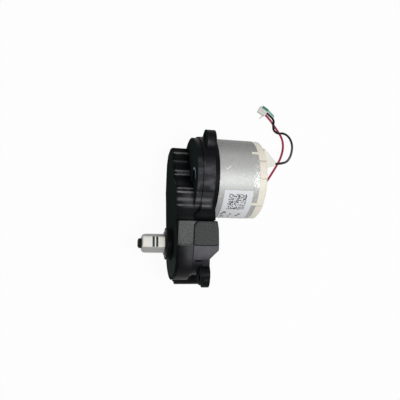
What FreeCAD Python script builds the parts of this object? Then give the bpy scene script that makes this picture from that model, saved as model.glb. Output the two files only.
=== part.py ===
"""Brush drive module: a small direct-current motor with a two-stage spur reduction.

Millimetres. The origin is on the output shaft's axis, at the front of the nose that the square
drive comes out of. +X runs along the shafts towards the motor's rear, +Y from the output shaft to
the motor, +Z up, with the module lying on its flat underside.
"""
import FreeCAD, Part
import math
import os

import Sketcher

Vector = FreeCAD.Vector

DRIVING_SIZES = [
    # Shaft axes
    ("motor_y", 27.0, "distance from the output shaft to the motor shaft"),
    ("first_pitch", 13.5, "centre distance, motor pinion to idler wheel"),
    ("second_pitch", 14.7, "centre distance, idler pinion to output gear"),
    # Gear case, along the shafts
    ("boss_front_x", 0.75, "front of the round boss on the gear cover"),
    ("cover_front_x", 3.15, "flat front face of the gear cover"),
    ("disc_front_x", 9.6, "front of the round disc over the motor pinion"),
    ("seam_low_x", 9.25, "joint of the two case halves at the output lobe"),
    ("seam_high_x", 11.75, "joint of the two case halves at the motor lobe"),
    ("seam_low_y", 8.4, "where the joint leaves the output lobe's plane"),
    ("seam_high_y", 12.8, "where the joint reaches the motor lobe's plane"),
    ("seat_x", 14.9, "motor side of the wall that the motor is screwed to"),
    ("seat_wall", 1.3, "thickness of that wall"),
    ("collar_end_x", 17.75, "rear rim of the collar round the motor"),
    ("box_end_x", 18.3, "rear face of the output lobe's box"),
    ("foot_end_x", 25.0, "rear end of the foot under the motor can"),
    ("case_wall", 1.4, "wall of the moulded case"),
    ("floor_wall", 1.5, "thickness of the gear cover's front wall"),
    ("disc_wall", 1.0, "thickness of the disc over the motor pinion"),
    # Gear case, across the shafts
    ("lobe_radius", 13.6, "output lobe"),
    ("disc_radius", 15.9, "disc round the motor axis on the gear cover"),
    ("collar_front_radius", 16.4, "motor collar at the joint"),
    ("collar_rear_radius", 17.0, "motor collar at its rear rim"),
    ("boss_radius", 6.4, "round boss on the gear cover"),
    ("underside_z", -17.6, "flat underside that the module lies on"),
    ("panel_z", 14.0, "flat panel on the upper side of the output lobe"),
    ("panel_low_y", 1.3, "lower edge of that panel on the gear cover"),
    ("box_panel_low_y", 0.1, "lower edge of that panel on the motor housing"),
    ("panel_high_y", 10.0, "upper edge of that panel"),
    ("box_low_y", -4.8, "lower side of the output lobe's box"),
    ("chamfer_y", 3.7, "height of the box's rear chamfer"),
    ("chamfer_x", 2.75, "depth of the box's rear chamfer"),
    ("neck_z", 8.8, "upper side of the neck between the lobes"),
    ("neck_high_y", 21.6, "where the neck drops into the recess"),
    ("block_top_y", 38.3, "top of the block on the gear cover"),
    ("block_corner", 9.0, "round corner of that block by the underside"),
    ("edge_round", 0.5, "rounding of moulded edges"),
    # Ears
    ("ear_front_x", 13.35, "front face of the mounting ears"),
    ("ear_thickness", 3.5, "thickness of the mounting ears"),
    ("ear_hole_radius", 1.3, "screw hole in each ear"),
    ("ear_hole_z", 8.3, "height of both screw holes"),
    ("ear_high_hole_y", 42.3, "screw hole of the upper ear"),
    ("ear_low_hole_y", -12.4, "screw hole of the lower ear"),
    ("ear_high_y", 40.3, "centre of the upper ear's round"),
    ("ear_high_z", 8.7, "centre of the upper ear's round"),
    ("ear_high_radius", 5.0, "round of the upper ear"),
    ("ear_low_y", -11.0, "centre of the lower ear's round"),
    ("ear_low_z", 7.2, "centre of the lower ear's round"),
    ("ear_low_radius", 4.3, "round of the lower ear"),
    # Case screws
    ("case_screw_radius", 1.1, "shank of a case screw"),
    ("case_head_radius", 2.1, "head of a case screw"),
    ("case_head_height", 1.5, "height of a case screw's head"),
    ("lug_radius", 2.9, "screw lug on the case"),
    ("lug_front_x", 5.2, "front end of the screw lugs"),
    ("lug_rear_x", 14.9, "rear end of the lower lug"),
    # Motor
    ("can_radius", 16.0, "outside of the motor can"),
    ("can_end_x", 33.85, "rear rim of the motor can"),
    ("can_wall", 1.0, "sheet of the motor can"),
    ("can_boss_radius", 4.0, "round boss on the can's front"),
    ("can_boss_height", 1.1, "height of that boss"),
    ("cap_thickness", 3.15, "end cap behind the can's rim"),
    ("cap_plug_depth", 2.2, "part of the end cap inside the can"),
    ("cap_rib_angle", 38.5, "the end cap's locating ribs, from the top"),
    ("cap_rib_width", 1.3, "width of a locating rib"),
    ("cap_rib_length", 2.6, "reach of a locating rib into the can's rim"),
    ("magnet_thickness", 2.3, "ferrite segments"),
    ("air_gap", 0.5, "between magnets and armature"),
    ("armature_front_x", 19.0, "front of the armature's core"),
    ("armature_room", 6.35, "from the armature's core back to the can's rim"),
    ("motor_shaft_radius", 1.0, "motor shaft"),
    ("motor_screw_offset", 8.0, "motor screws from the motor axis"),
    ("motor_screw_radius", 1.25, "shank of a motor screw"),
    ("motor_head_radius", 2.1, "head of a motor screw"),
    ("motor_head_height", 1.3, "height of a motor screw's head"),
    # Gears
    ("wheel_front_x", 10.9, "front of the idler wheel and the motor pinion"),
    ("wheel_width", 2.4, "face width of the first stage"),
    ("gear_front_x", 4.95, "front of the output gear and the idler pinion"),
    ("gear_width", 4.0, "face width of the output gear"),
    ("idler_pin_radius", 1.0, "steel pin of the idler"),
    ("backlash", 0.06, "thinning of each tooth at the pitch circle"),
    ("running_gap", 0.03, "radial clearance of a running fit"),
    ("seat_gap", 0.02, "clearance of a fixed fit"),
    # Output shaft
    ("drive_across_flats", 7.1, "square drive across its flats"),
    ("drive_corner_radius", 3.92, "square drive over its turned corners"),
    ("drive_turn", -13.3, "turn of the square drive about its axis at rest"),
    ("drive_length", 6.75, "square drive up to its lead-in"),
    ("lead_in", 2.1, "tapered lead-in of the square drive"),
    ("lead_in_radius", 2.3, "small end of the lead-in"),
    ("tip_radius", 2.0, "plastic tip"),
    ("tip_length", 1.5, "plastic tip in front of the shaft"),
    ("journal_radius", 3.97, "front journal of the output shaft"),
    ("gear_seat_radius", 3.4, "output gear's seat"),
    ("rear_journal_radius", 2.5, "rear journal of the output shaft"),
    ("front_bush_radius", 5.4, "front bush"),
    ("rear_bush_radius", 3.6, "rear bush"),
    ("rear_bush_x", 13.7, "front of the rear bush"),
    ("rear_bush_length", 2.2, "length of the rear bush"),
    # Wires
    ("wire_diameter", 1.0, "each motor lead over its insulation"),
    ("label_front_x", 20.25, "front edge of the blank label"),
    ("label_length", 11.5, "width of the blank label along the can"),
    ("label_thickness", 0.08, "label foil"),
]

# The leads, from the terminal to the plug, as the points that each route turns at; X counts from
# the end cap's rear face
RED_TURNS = [(2.4, 19.5, -8.0), (5.6, 22.3, -8.3), (9.4, 27.6, -9.0), (13.3, 33.0, -10.6),
             (17.2, 38.2, -13.4), (19.7, 43.8, -16.6), (18.9, 48.4, -17.05), (15.2, 53.0, -17.1),
             (12.6, 56.2, -17.0), (10.15, 58.15, -16.6)]
BLACK_TURNS = [(5.9, 33.6, 8.0), (9.6, 34.1, 6.7), (14.0, 35.6, 1.8), (18.6, 39.2, -5.2),
               (22.4, 44.4, -12.6), (22.3, 48.7, -16.3), (19.0, 50.3, -15.9), (16.6, 49.7, -15.9),
               (14.6, 51.1, -16.8), (13.9, 53.3, -15.95), (14.3, 55.5, -15.9), (13.3, 57.4, -16.9),
               (10.75, 59.1, -16.6)]

# Stepped upper side of the block: how far each edge lies below the block's top, and its height
BLOCK_EDGES = [(0, -4.6), (2.7, -3.0), (6.1, -1.2), (9.3, 0.4), (12.5, 1.4), (15.5, 2.0)]

# The plug's terminals, by lead: their Y and Z on the end cap
TERMINALS = {"red": (19.5, -8.0), "black": (34.8, 8.0)}
TERMINAL_WIDTH = 1.8
TERMINAL_THICKNESS = 0.5
# The insulating boot's section at the end cap and at its tip, as limits in Y and Z
BOOT_BASE = (31.2, 39.2, 5.2, 11.0)
BOOT_TIP = (32.7, 34.5, 7.1, 8.9)
PLUG_LENGTH = 3.8
PLUG_WIDTH = 3.0
PLUG_HEIGHT = 2.0
PLUG_TURN = 150.0

# Teeth and profile shift of each gear
PRESSURE_ANGLE = math.radians(20)
MOTOR_PINION = (12, 0.30)
IDLER_WHEEL = (42, -0.30)
IDLER_PINION = (10, 0.42)
OUTPUT_GEAR = (32, -0.42)

document = FreeCAD.newDocument("brush_drive")
sheet = document.addObject("Spreadsheet::Sheet", "Sizes")


class Size:
    """A length with its formula, so that Python and the document's expressions work alike."""

    def __init__(self, value, text):
        self.value = float(value)
        self.text = text

    def joined(self, other, sign, value):
        return Size(value, "(%s %s %s)" % (self.text, sign, formula(other)))

    def __add__(self, other):
        return self.joined(other, "+", self.value + number(other))

    def __radd__(self, other):
        return Size(other, str(other)) + self

    def __sub__(self, other):
        return self.joined(other, "-", self.value - number(other))

    def __rsub__(self, other):
        return Size(other, str(other)) - self

    def __mul__(self, other):
        return self.joined(other, "*", self.value * number(other))

    def __rmul__(self, other):
        return Size(other, str(other)) * self

    def __truediv__(self, other):
        return self.joined(other, "/", self.value / number(other))

    def __neg__(self):
        return Size(-self.value, "(0 - %s)" % self.text)


def number(size):
    """The plain value of a size or a number."""
    return size.value if isinstance(size, Size) else float(size)


def formula(size):
    """The expression of a size or a number."""
    return size.text if isinstance(size, Size) else repr(float(size))


class Sizes:
    """Every driving size by its alias."""


def fill_sheet():
    """Write the driving sizes into the spreadsheet and hand them back by name."""
    sizes = Sizes()
    for row, (alias, value, note) in enumerate(DRIVING_SIZES, start=1):
        sheet.set("A%d" % row, note)
        sheet.set("B%d" % row, str(value))
        sheet.setAlias("B%d" % row, alias)
        setattr(sizes, alias, Size(value, "Sizes.%s" % alias))
    document.recompute()
    return sizes


S = fill_sheet()

# Sizes that follow from the driving ones
IDLER_Y_VALUE = (number(S.second_pitch) ** 2 - number(S.first_pitch) ** 2
                 + number(S.motor_y) ** 2) / (2 * number(S.motor_y))
IDLER_Y = Size(IDLER_Y_VALUE,
               "((Sizes.second_pitch ^ 2 - Sizes.first_pitch ^ 2 + Sizes.motor_y ^ 2)"
               " / (2 * Sizes.motor_y))")
IDLER_Z = Size(-math.sqrt(number(S.second_pitch) ** 2 - IDLER_Y_VALUE ** 2),
               "(0 - sqrt(Sizes.second_pitch ^ 2 - %s ^ 2))" % IDLER_Y.text)
OUTPUT_AXIS = (Size(0, "0"), Size(0, "0"))
MOTOR_AXIS = (S.motor_y, Size(0, "0"))
IDLER_AXIS = (IDLER_Y, IDLER_Z)

SEAT_FRONT_X = S.seat_x - S.seat_wall
COVER_FLOOR_X = S.cover_front_x + S.floor_wall
DISC_FLOOR_X = S.disc_front_x + S.disc_wall
CAP_END_X = S.can_end_x + S.cap_thickness
CAN_BORE = S.can_radius - S.can_wall
MAGNET_BORE = CAN_BORE - S.magnet_thickness
ARMATURE_RADIUS = MAGNET_BORE - S.air_gap
ARMATURE_LENGTH = S.can_end_x - S.armature_front_x - S.armature_room
TIP_X = -(S.drive_length + S.lead_in)
GEAR_SPACE = S.lobe_radius - S.case_wall
WHEEL_SPACE = Size(11.3, "11.3")
SCREW_SPACE = Size(12.5, "12.5")
SEAL_PLUG_RADIUS = Size(5.0, "5")
TIP_STEM_RADIUS = Size(1.2, "1.2")
CAN_STEP = Size(0.6, "0.6")
MOTOR_BUSH_RADIUS = Size(3.0, "3")

# Case screws: two from the rear in lugs, one from the front in a deep counterbore
UNDERSIDE_LUG = (Size(7.5, "7.5"), S.underside_z + S.lug_radius)
LOWER_LUG = (-(S.lobe_radius - 0.2), Size(-6.0, "(0 - 6)"))
FRONT_SCREW = (S.motor_y + 4.5, Size(-13.6, "(0 - 13.6)"))
FRONT_SCREW_SEAT_X = S.disc_front_x - 0.6
SCREW_BORE = S.case_screw_radius + S.seat_gap
# Where each lug ends, towards the motor's rear
LUG_ENDS = ((UNDERSIDE_LUG, S.collar_end_x), (LOWER_LUG, S.lug_rear_x))


def lead_route(turns):
    """A lead's points in the module's own frame."""
    return [(x + number(CAP_END_X), y, z) for x, y, z in turns]


RED_ROUTE = lead_route(RED_TURNS)
BLACK_ROUTE = lead_route(BLACK_TURNS)
PLUG_BACK = Vector((RED_ROUTE[-1][0] + BLACK_ROUTE[-1][0]) / 2,
                   (RED_ROUTE[-1][1] + BLACK_ROUTE[-1][1]) / 2, RED_ROUTE[-1][2])

parts = []


def finish(name, feature):
    """Note a finished sub-part under the name of its file."""
    feature.Label = name
    parts.append((name, feature))
    return feature


def new_body(name):
    return document.addObject("PartDesign::Body", name)


def origin_plane(body, role):
    return next(f for f in body.Origin.OriginFeatures if f.Role == role)


def new_sketch(body, plane, offset, centre=None):
    """A sketch on an origin plane, moved along its normal and, if given, to a centre on it."""
    sketch = body.newObject("Sketcher::SketchObject", "Sketch")
    sketch.AttachmentSupport = [(origin_plane(body, plane), "")]
    sketch.MapMode = "FlatFace"
    sketch.setExpression("AttachmentOffset.Base.z", formula(offset))
    if centre is not None:
        sketch.setExpression("AttachmentOffset.Base.x", formula(centre[0]))
        sketch.setExpression("AttachmentOffset.Base.y", formula(centre[1]))
    return sketch


def bind(sketch, kind, refs, size):
    """Add one dimension to a sketch, tied to its formula."""
    index = sketch.addConstraint(Sketcher.Constraint(kind, *refs, number(size)))
    if isinstance(size, Size) and "Sizes." in size.text:
        sketch.setExpression("Constraints[%d]" % index, size.text)


def draw_circle(sketch, centre, radius):
    middle = Vector(number(centre[0]), number(centre[1]), 0)
    shape = sketch.addGeometry(Part.Circle(middle, Vector(0, 0, 1), number(radius)), False)
    bind(sketch, "DistanceX", (-1, 1, shape, 3), centre[0])
    bind(sketch, "DistanceY", (-1, 1, shape, 3), centre[1])
    bind(sketch, "Radius", (shape,), radius)


def draw_polygon(sketch, corners):
    """A closed outline whose corners are each tied to their two sizes."""
    points = [Vector(number(a), number(b), 0) for a, b in corners]
    first = sketch.GeometryCount
    for start, end in zip(points, points[1:] + points[:1]):
        sketch.addGeometry(Part.LineSegment(start, end), False)
    count = len(points)
    for i in range(count):
        following = first + (i + 1) % count
        sketch.addConstraint(Sketcher.Constraint("Coincident", first + i, 2, following, 1))
    for i, (a, b) in enumerate(corners):
        bind(sketch, "DistanceX", (-1, 1, first + i, 1), a)
        bind(sketch, "DistanceY", (-1, 1, first + i, 1), b)


def draw(sketch, outlines):
    for outline in outlines:
        if len(outline) == 2:
            draw_circle(sketch, *outline)
        else:
            draw_polygon(sketch, outline)


def pad(body, start, end, *outlines):
    """Add the outlines, seen along the shafts, as material between two places on X."""
    sketch = new_sketch(body, "YZ_Plane", start)
    draw(sketch, outlines)
    feature = body.newObject("PartDesign::Pad", "Pad")
    feature.Profile = sketch
    feature.setExpression("Length", formula(end - start))
    document.recompute()
    return feature


def pocket(body, start, end, *outlines):
    """Cut the outlines, seen along the shafts, between two places on X."""
    sketch = new_sketch(body, "YZ_Plane", start)
    draw(sketch, outlines)
    before = body.Shape.Volume
    feature = body.newObject("PartDesign::Pocket", "Pocket")
    feature.Profile = sketch
    feature.Reversed = True
    feature.setExpression("Length", formula(end - start))
    document.recompute()
    if body.Shape.Volume >= before:
        raise RuntimeError("a pocket of %s cuts nothing" % body.Name)
    return feature


def side_pocket(body, corners, depth=60):
    """Cut an outline drawn in plan, on X and Y, right through the height."""
    sketch = new_sketch(body, "XY_Plane", 0)
    draw_polygon(sketch, corners)
    before = body.Shape.Volume
    feature = body.newObject("PartDesign::Pocket", "Pocket")
    feature.Profile = sketch
    feature.SideType = "Symmetric"
    feature.Length = depth
    document.recompute()
    if body.Shape.Volume >= before:
        raise RuntimeError("a side pocket of %s cuts nothing" % body.Name)
    return feature


def turned(name, axis, profile):
    """A turned piece: its half section, as places on X and radii, revolved about an axis."""
    body = new_body(name)
    add_turned(body, axis, profile)
    return finish(name, body)


def add_turned(body, axis, profile, kind="PartDesign::Revolution"):
    sketch = new_sketch(body, "XY_Plane", axis[1], (0, axis[0]))
    draw_polygon(sketch, profile)
    feature = body.newObject(kind, "Turned")
    feature.Profile = sketch
    feature.ReferenceAxis = (sketch, ["H_Axis"])
    feature.Angle = 360
    document.recompute()
    return feature


def ring(name, axis, start, end, inner, outer):
    return turned(name, axis, [(start, inner), (end, inner), (end, outer), (start, outer)])


def edges_along_x(body, places, tolerance=0.02):
    """The names of the straight edges along X that pass the given places, seen along X."""
    names = []
    for index, edge in enumerate(body.Shape.Edges, start=1):
        box = edge.BoundBox
        if box.YLength > tolerance or box.ZLength > tolerance:
            continue
        for y, z in places:
            if abs(box.YMin - number(y)) < tolerance and abs(box.ZMin - number(z)) < tolerance:
                names.append("Edge%d" % index)
    return names


def round_edges(body, names, radius):
    """Round the named edges of a body's last feature."""
    if not names:
        raise RuntimeError("no edge to round on %s" % body.Name)
    base = body.Tip
    feature = body.newObject("PartDesign::Fillet", "Fillet")
    feature.Base = (base, names)
    feature.setExpression("Radius", formula(radius))
    document.recompute()
    return feature


def face_edges(body, x):
    """The names of all edges that lie in one plane across X."""
    names = []
    for index, edge in enumerate(body.Shape.Edges, start=1):
        box = edge.BoundBox
        if abs(box.XMin - number(x)) < 0.01 and abs(box.XMax - number(x)) < 0.01:
            names.append("Edge%d" % index)
    return names


def cosine(angle):
    """The cosine of an angle in degrees, as a size."""
    return Size(math.cos(math.radians(number(angle))), "cos(%s * 1 deg)" % formula(angle))


def sine(angle):
    """The sine of an angle in degrees, as a size."""
    return Size(math.sin(math.radians(number(angle))), "sin(%s * 1 deg)" % formula(angle))


def rectangle(low_y, high_y, low_z, high_z):
    return [(low_y, low_z), (high_y, low_z), (high_y, high_z), (low_y, high_z)]


def case_outline():
    """The block, the neck and the flat underside, which both halves of the case share."""
    lobe = S.lobe_radius
    corners = [(lobe * -0.342, lobe * -0.94), (Size(10.5, "10.5"), S.underside_z),
               (S.block_top_y, S.underside_z)]
    corners += [(S.block_top_y - drop, Size(z, "(0 + %s)" % z)) for drop, z in BLOCK_EDGES]
    corners += [(S.neck_high_y + 0.8, S.neck_z - 1.0), (S.neck_high_y, S.neck_z),
                (S.seam_high_y, S.neck_z - 0.3), (S.seam_low_y, S.neck_z), (Size(0, "0"), Size(0, "0"))]
    return corners


def start_case_half(name, start, end):
    """The shared outline as a solid, with its long edges rounded as moulded."""
    body = new_body(name)
    corners = case_outline()
    pad(body, start, end, corners)
    round_edges(body, edges_along_x(body, [corners[2]]), S.block_corner)
    round_edges(body, edges_along_x(body, corners[4:8]), S.edge_round)
    round_edges(body, edges_along_x(body, corners[9:11]), S.edge_round * 1.5)
    return body


def make_gear_cover():
    """Front half of the case, a bathtub over the output gear with a flat front face."""
    body = start_case_half("gear_cover", S.cover_front_x, S.seam_high_x)
    pad(body, S.cover_front_x, S.seam_high_x, (OUTPUT_AXIS, S.lobe_radius))
    pad(body, S.cover_front_x, S.seam_high_x, (IDLER_AXIS, GEAR_SPACE + 0.5))
    pad(body, S.cover_front_x, S.seam_high_x,
        rectangle(S.panel_low_y, S.panel_high_y, Size(0, "0"), S.panel_z))
    pad(body, S.disc_front_x, S.seam_high_x, (MOTOR_AXIS, S.disc_radius))
    for lug, _ in LUG_ENDS:
        pad(body, S.lug_front_x, S.seam_high_x, (lug, S.lug_radius))
    cut_cover_seam(body)
    pad(body, S.boss_front_x, S.cover_front_x, (OUTPUT_AXIS, S.boss_radius))
    cut_cover_hollows(body)
    add_screw_tube(body)
    round_edges(body, face_edges(body, S.boss_front_x)[-1:], S.edge_round * 0.6)
    return finish("gear_cover", body)


def cut_cover_seam(body):
    """Cut the cover back to the joint, which steps forward below the motor lobe."""
    beyond = S.seam_high_x + 1
    side_pocket(body, [(S.seam_low_x, S.seam_low_y), (S.seam_high_x, S.seam_high_y),
                       (beyond, S.seam_high_y), (beyond, Size(-30, "(0 - 30)")),
                       (S.seam_low_x, Size(-30, "(0 - 30)"))])


def cut_cover_hollows(body):
    """The gear spaces, the seats of the seal, the front bush and the pin, and the screw holes."""
    seal_end = S.boss_front_x + 0.9
    pocket(body, COVER_FLOOR_X, S.seam_low_x + 0.3, (OUTPUT_AXIS, GEAR_SPACE))
    pocket(body, COVER_FLOOR_X, DISC_FLOOR_X, (IDLER_AXIS, Size(5, "5")))
    pocket(body, DISC_FLOOR_X, S.seam_high_x + 0.5, (IDLER_AXIS, WHEEL_SPACE))
    pocket(body, DISC_FLOOR_X, S.seam_high_x + 0.5, (MOTOR_AXIS, SCREW_SPACE))
    pocket(body, S.boss_front_x, seal_end, (OUTPUT_AXIS, SEAL_PLUG_RADIUS + S.seat_gap))
    pocket(body, seal_end, COVER_FLOOR_X, (OUTPUT_AXIS, S.front_bush_radius + S.seat_gap))
    pocket(body, COVER_FLOOR_X - 0.9, COVER_FLOOR_X, (IDLER_AXIS, S.idler_pin_radius + S.seat_gap))
    for lug, _ in LUG_ENDS:
        pocket(body, S.lug_front_x + 1.2, S.seam_high_x, (lug, SCREW_BORE))
    pocket(body, S.cover_front_x, FRONT_SCREW_SEAT_X, (FRONT_SCREW, S.case_head_radius + 0.2))
    pocket(body, FRONT_SCREW_SEAT_X, S.seam_high_x, (FRONT_SCREW, SCREW_BORE))


def add_screw_tube(body):
    """A short tube through the disc, by which one motor screw is reached from the front."""
    place = (S.motor_y, S.motor_screw_offset)
    pad(body, DISC_FLOOR_X, S.seam_high_x + 0.3, (place, S.motor_head_radius + 1.2))
    pocket(body, S.disc_front_x, S.seam_high_x + 0.3, (place, S.motor_head_radius + 0.4))


def make_motor_housing():
    """Rear half of the case: motor collar, seat wall, output box, foot and the two mounting ears."""
    body = start_case_half("motor_housing", S.seam_low_x, S.collar_end_x)
    pad(body, S.seam_low_x, S.seat_x, (IDLER_AXIS, GEAR_SPACE + 0.5))
    pad(body, S.seam_low_x, S.disc_front_x + 1, (OUTPUT_AXIS, GEAR_SPACE + 0.7))
    add_turned(body, MOTOR_AXIS, [(S.seam_high_x, Size(0, "0")), (S.collar_end_x, Size(0, "0")),
                                  (S.collar_end_x, S.collar_rear_radius),
                                  (S.seam_high_x, S.collar_front_radius)])
    pad(body, S.seat_x, S.foot_end_x,
        rectangle(S.motor_y - 5, S.motor_y + 5, S.underside_z, S.underside_z + 4))
    add_output_box(body)
    add_housing_lugs(body)
    cut_housing_seam(body)
    add_ears(body)
    cut_housing_hollows(body)
    return finish("motor_housing", body)


def add_output_box(body):
    """The box behind the output gear, flat on its upper side, with a chamfered rear."""
    front = S.disc_front_x + 1
    pad(body, front, S.box_end_x, (OUTPUT_AXIS, S.lobe_radius))
    pad(body, S.seam_low_x, S.box_end_x,
        rectangle(S.box_panel_low_y, S.panel_high_y, Size(0, "0"), S.panel_z))
    chamfer_top = S.box_low_y + S.chamfer_y
    beyond = S.box_end_x + 2
    low = Size(-25, "(0 - 25)")
    side_pocket(body, [(front, S.box_low_y), (S.box_end_x - S.chamfer_x, S.box_low_y),
                       (S.box_end_x, chamfer_top), (beyond, chamfer_top), (beyond, low), (front, low)])
    side_pocket(body, [(S.collar_end_x, S.panel_high_y), (beyond, S.panel_high_y),
                       (beyond, S.motor_y), (S.collar_end_x, S.motor_y)])


def cut_housing_seam(body):
    """Cut the housing back to the joint."""
    before = S.seam_low_x - 1
    top = Size(60, "60")
    side_pocket(body, [(before, S.seam_low_y), (S.seam_low_x, S.seam_low_y),
                       (S.seam_high_x, S.seam_high_y), (S.seam_high_x, top), (before, top)])


def add_ears(body):
    """The two screw ears, coplanar, with the lower one's neck and gusset."""
    rear = S.ear_front_x + S.ear_thickness
    pad(body, S.ear_front_x, rear, ((S.ear_high_y, S.ear_high_z), S.ear_high_radius))
    pad(body, S.ear_front_x, rear, ((S.ear_low_y, S.ear_low_z), S.ear_low_radius))
    low_z = S.ear_low_z - S.ear_low_radius
    high_z = S.ear_low_z + 2.6
    pad(body, S.ear_front_x, rear, rectangle(S.ear_low_y + 2, S.box_low_y + 2.5, low_z, high_z))
    pad(body, S.ear_front_x - 1, rear - 1.2,
        [(S.box_low_y + 0.5, low_z + 0.4), (S.box_low_y + 0.5, high_z - 0.4),
         (S.box_low_y - 1.6, high_z - 1.4), (S.box_low_y - 1.6, low_z + 1.4)])


def add_housing_lugs(body):
    """The case-screw lugs behind the joint, and the rib that steadies the lower one."""
    for lug, end in LUG_ENDS:
        pad(body, S.seam_low_x, end, (lug, S.lug_radius))
    pad(body, S.seam_low_x, S.lug_rear_x - 1.5,
        rectangle(LOWER_LUG[0] + 1, S.box_low_y + 1, LOWER_LUG[1] - 0.7, LOWER_LUG[1] + 0.7))


def cut_housing_hollows(body):
    """Everything that the housing is hollowed for, front to rear."""
    front = S.disc_front_x + 1
    end_wall_x = S.box_end_x - S.case_wall
    pocket(body, front, end_wall_x,
           rectangle(S.box_low_y + S.case_wall, S.panel_high_y - S.case_wall,
                     Size(-11.0, "(0 - 11)"), S.panel_z - S.case_wall - 0.2))
    boss_x = SEAT_FRONT_X
    pad(body, boss_x, end_wall_x + 0.2, (OUTPUT_AXIS, S.rear_bush_radius + 1.1))
    pocket(body, S.seam_low_x, front, (OUTPUT_AXIS, Size(4.1, "4.1")))
    pocket(body, S.seam_low_x, front, (IDLER_AXIS, Size(5, "5")))
    pocket(body, front, SEAT_FRONT_X, (IDLER_AXIS, WHEEL_SPACE))
    pocket(body, S.seam_high_x - 0.5, SEAT_FRONT_X, (MOTOR_AXIS, SCREW_SPACE))
    pocket(body, SEAT_FRONT_X, S.seat_x, (MOTOR_AXIS, S.can_boss_radius + 0.05))
    pocket(body, S.seat_x, S.foot_end_x + 1, (MOTOR_AXIS, S.can_radius + 0.06))
    pocket(body, SEAT_FRONT_X, S.seat_x - 0.4, (IDLER_AXIS, S.idler_pin_radius + S.seat_gap))
    bush_end = S.rear_bush_x + S.rear_bush_length
    pocket(body, boss_x, bush_end, (OUTPUT_AXIS, S.rear_bush_radius + S.seat_gap))
    pocket(body, bush_end, bush_end + 0.5, (OUTPUT_AXIS, S.rear_journal_radius + 0.2))
    for side in (1, -1):
        place = (S.motor_y, S.motor_screw_offset * side)
        pocket(body, SEAT_FRONT_X, S.seat_x, (place, S.motor_screw_radius + 0.1))
    for lug, end in LUG_ENDS:
        pocket(body, S.seam_low_x, end, (lug, SCREW_BORE + 0.1))
    pocket(body, S.seam_high_x, S.seat_x - 0.6, (FRONT_SCREW, SCREW_BORE))
    rear = S.ear_front_x + S.ear_thickness
    for hole_y in (S.ear_high_hole_y, S.ear_low_hole_y):
        pocket(body, S.ear_front_x, rear, ((hole_y, S.ear_hole_z), S.ear_hole_radius))


def make_seal():
    """Conical nose ring, with a plug that sits in the boss."""
    inner = S.journal_radius + 0.06
    turned("shaft_seal", OUTPUT_AXIS, [
        (Size(0, "0"), inner), (Size(0, "0"), inner + 0.4), (S.boss_front_x, S.boss_radius - 0.7),
        (S.boss_front_x, SEAL_PLUG_RADIUS), (S.boss_front_x + 0.9, SEAL_PLUG_RADIUS),
        (S.boss_front_x + 0.9, inner)])


def make_bushes():
    """Sintered bushes of the output shaft."""
    ring("front_bush", OUTPUT_AXIS, S.boss_front_x + 0.95, COVER_FLOOR_X,
         S.journal_radius + S.running_gap, S.front_bush_radius)
    ring("rear_bush", OUTPUT_AXIS, S.rear_bush_x, S.rear_bush_x + S.rear_bush_length,
         S.rear_journal_radius + S.running_gap, S.rear_bush_radius)


def make_output_shaft():
    """Turned shaft whose front end is milled to a square with its corners left round."""
    body = new_body("output_shaft")
    gear_end = S.gear_front_x + S.gear_width
    shaft_end = S.rear_bush_x + S.rear_bush_length + 0.2
    zero = Size(0, "0")
    add_turned(body, OUTPUT_AXIS, [
        (TIP_X, zero), (TIP_X, S.lead_in_radius), (-S.drive_length, S.drive_corner_radius),
        (zero, S.drive_corner_radius), (zero, S.journal_radius), (S.gear_front_x, S.journal_radius),
        (S.gear_front_x, S.gear_seat_radius), (gear_end, S.gear_seat_radius),
        (gear_end, S.rear_journal_radius), (shaft_end, S.rear_journal_radius), (shaft_end, zero)])
    mill_square(body)
    pocket(body, TIP_X, TIP_X + 2.5, (OUTPUT_AXIS, TIP_STEM_RADIUS + S.seat_gap))
    finish("output_shaft", body)


def mill_square(body):
    """Four flats from the tip back to the nose, turned about the shaft as at rest."""
    half = S.drive_across_flats / 2
    far = half + 3
    for quarter in range(4):
        turn = S.drive_turn + 90.0 * quarter
        corners = []
        for out, along in ((half, -far), (far, -far), (far, far), (half, far)):
            corners.append((cosine(turn) * out - sine(turn) * along,
                            sine(turn) * out + cosine(turn) * along))
        pocket(body, TIP_X - 1, Size(-0.05, "(0 - 0.05)"), corners)


def make_tip():
    """Black plastic tip, domed, with a stem in the shaft's end."""
    front = TIP_X - S.tip_length
    zero = Size(0, "0")
    turned("shaft_tip", OUTPUT_AXIS, [
        (front, zero), (front, S.tip_radius - 0.6), (front + 0.5, S.tip_radius), (TIP_X, S.tip_radius),
        (TIP_X, TIP_STEM_RADIUS), (TIP_X + 2.4, TIP_STEM_RADIUS), (TIP_X + 2.4, zero)])


def make_output_rings():
    """Spacer tube behind the output gear and thrust washer in front of it."""
    gear_end = S.gear_front_x + S.gear_width
    ring("output_spacer", OUTPUT_AXIS, gear_end + 0.03, S.rear_bush_x - 0.05,
         S.rear_journal_radius + S.seat_gap, S.gear_seat_radius - 0.1)
    ring("output_washer", OUTPUT_AXIS, COVER_FLOOR_X + 0.03, S.gear_front_x - 0.05,
         S.journal_radius + S.running_gap, S.front_bush_radius)


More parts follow.
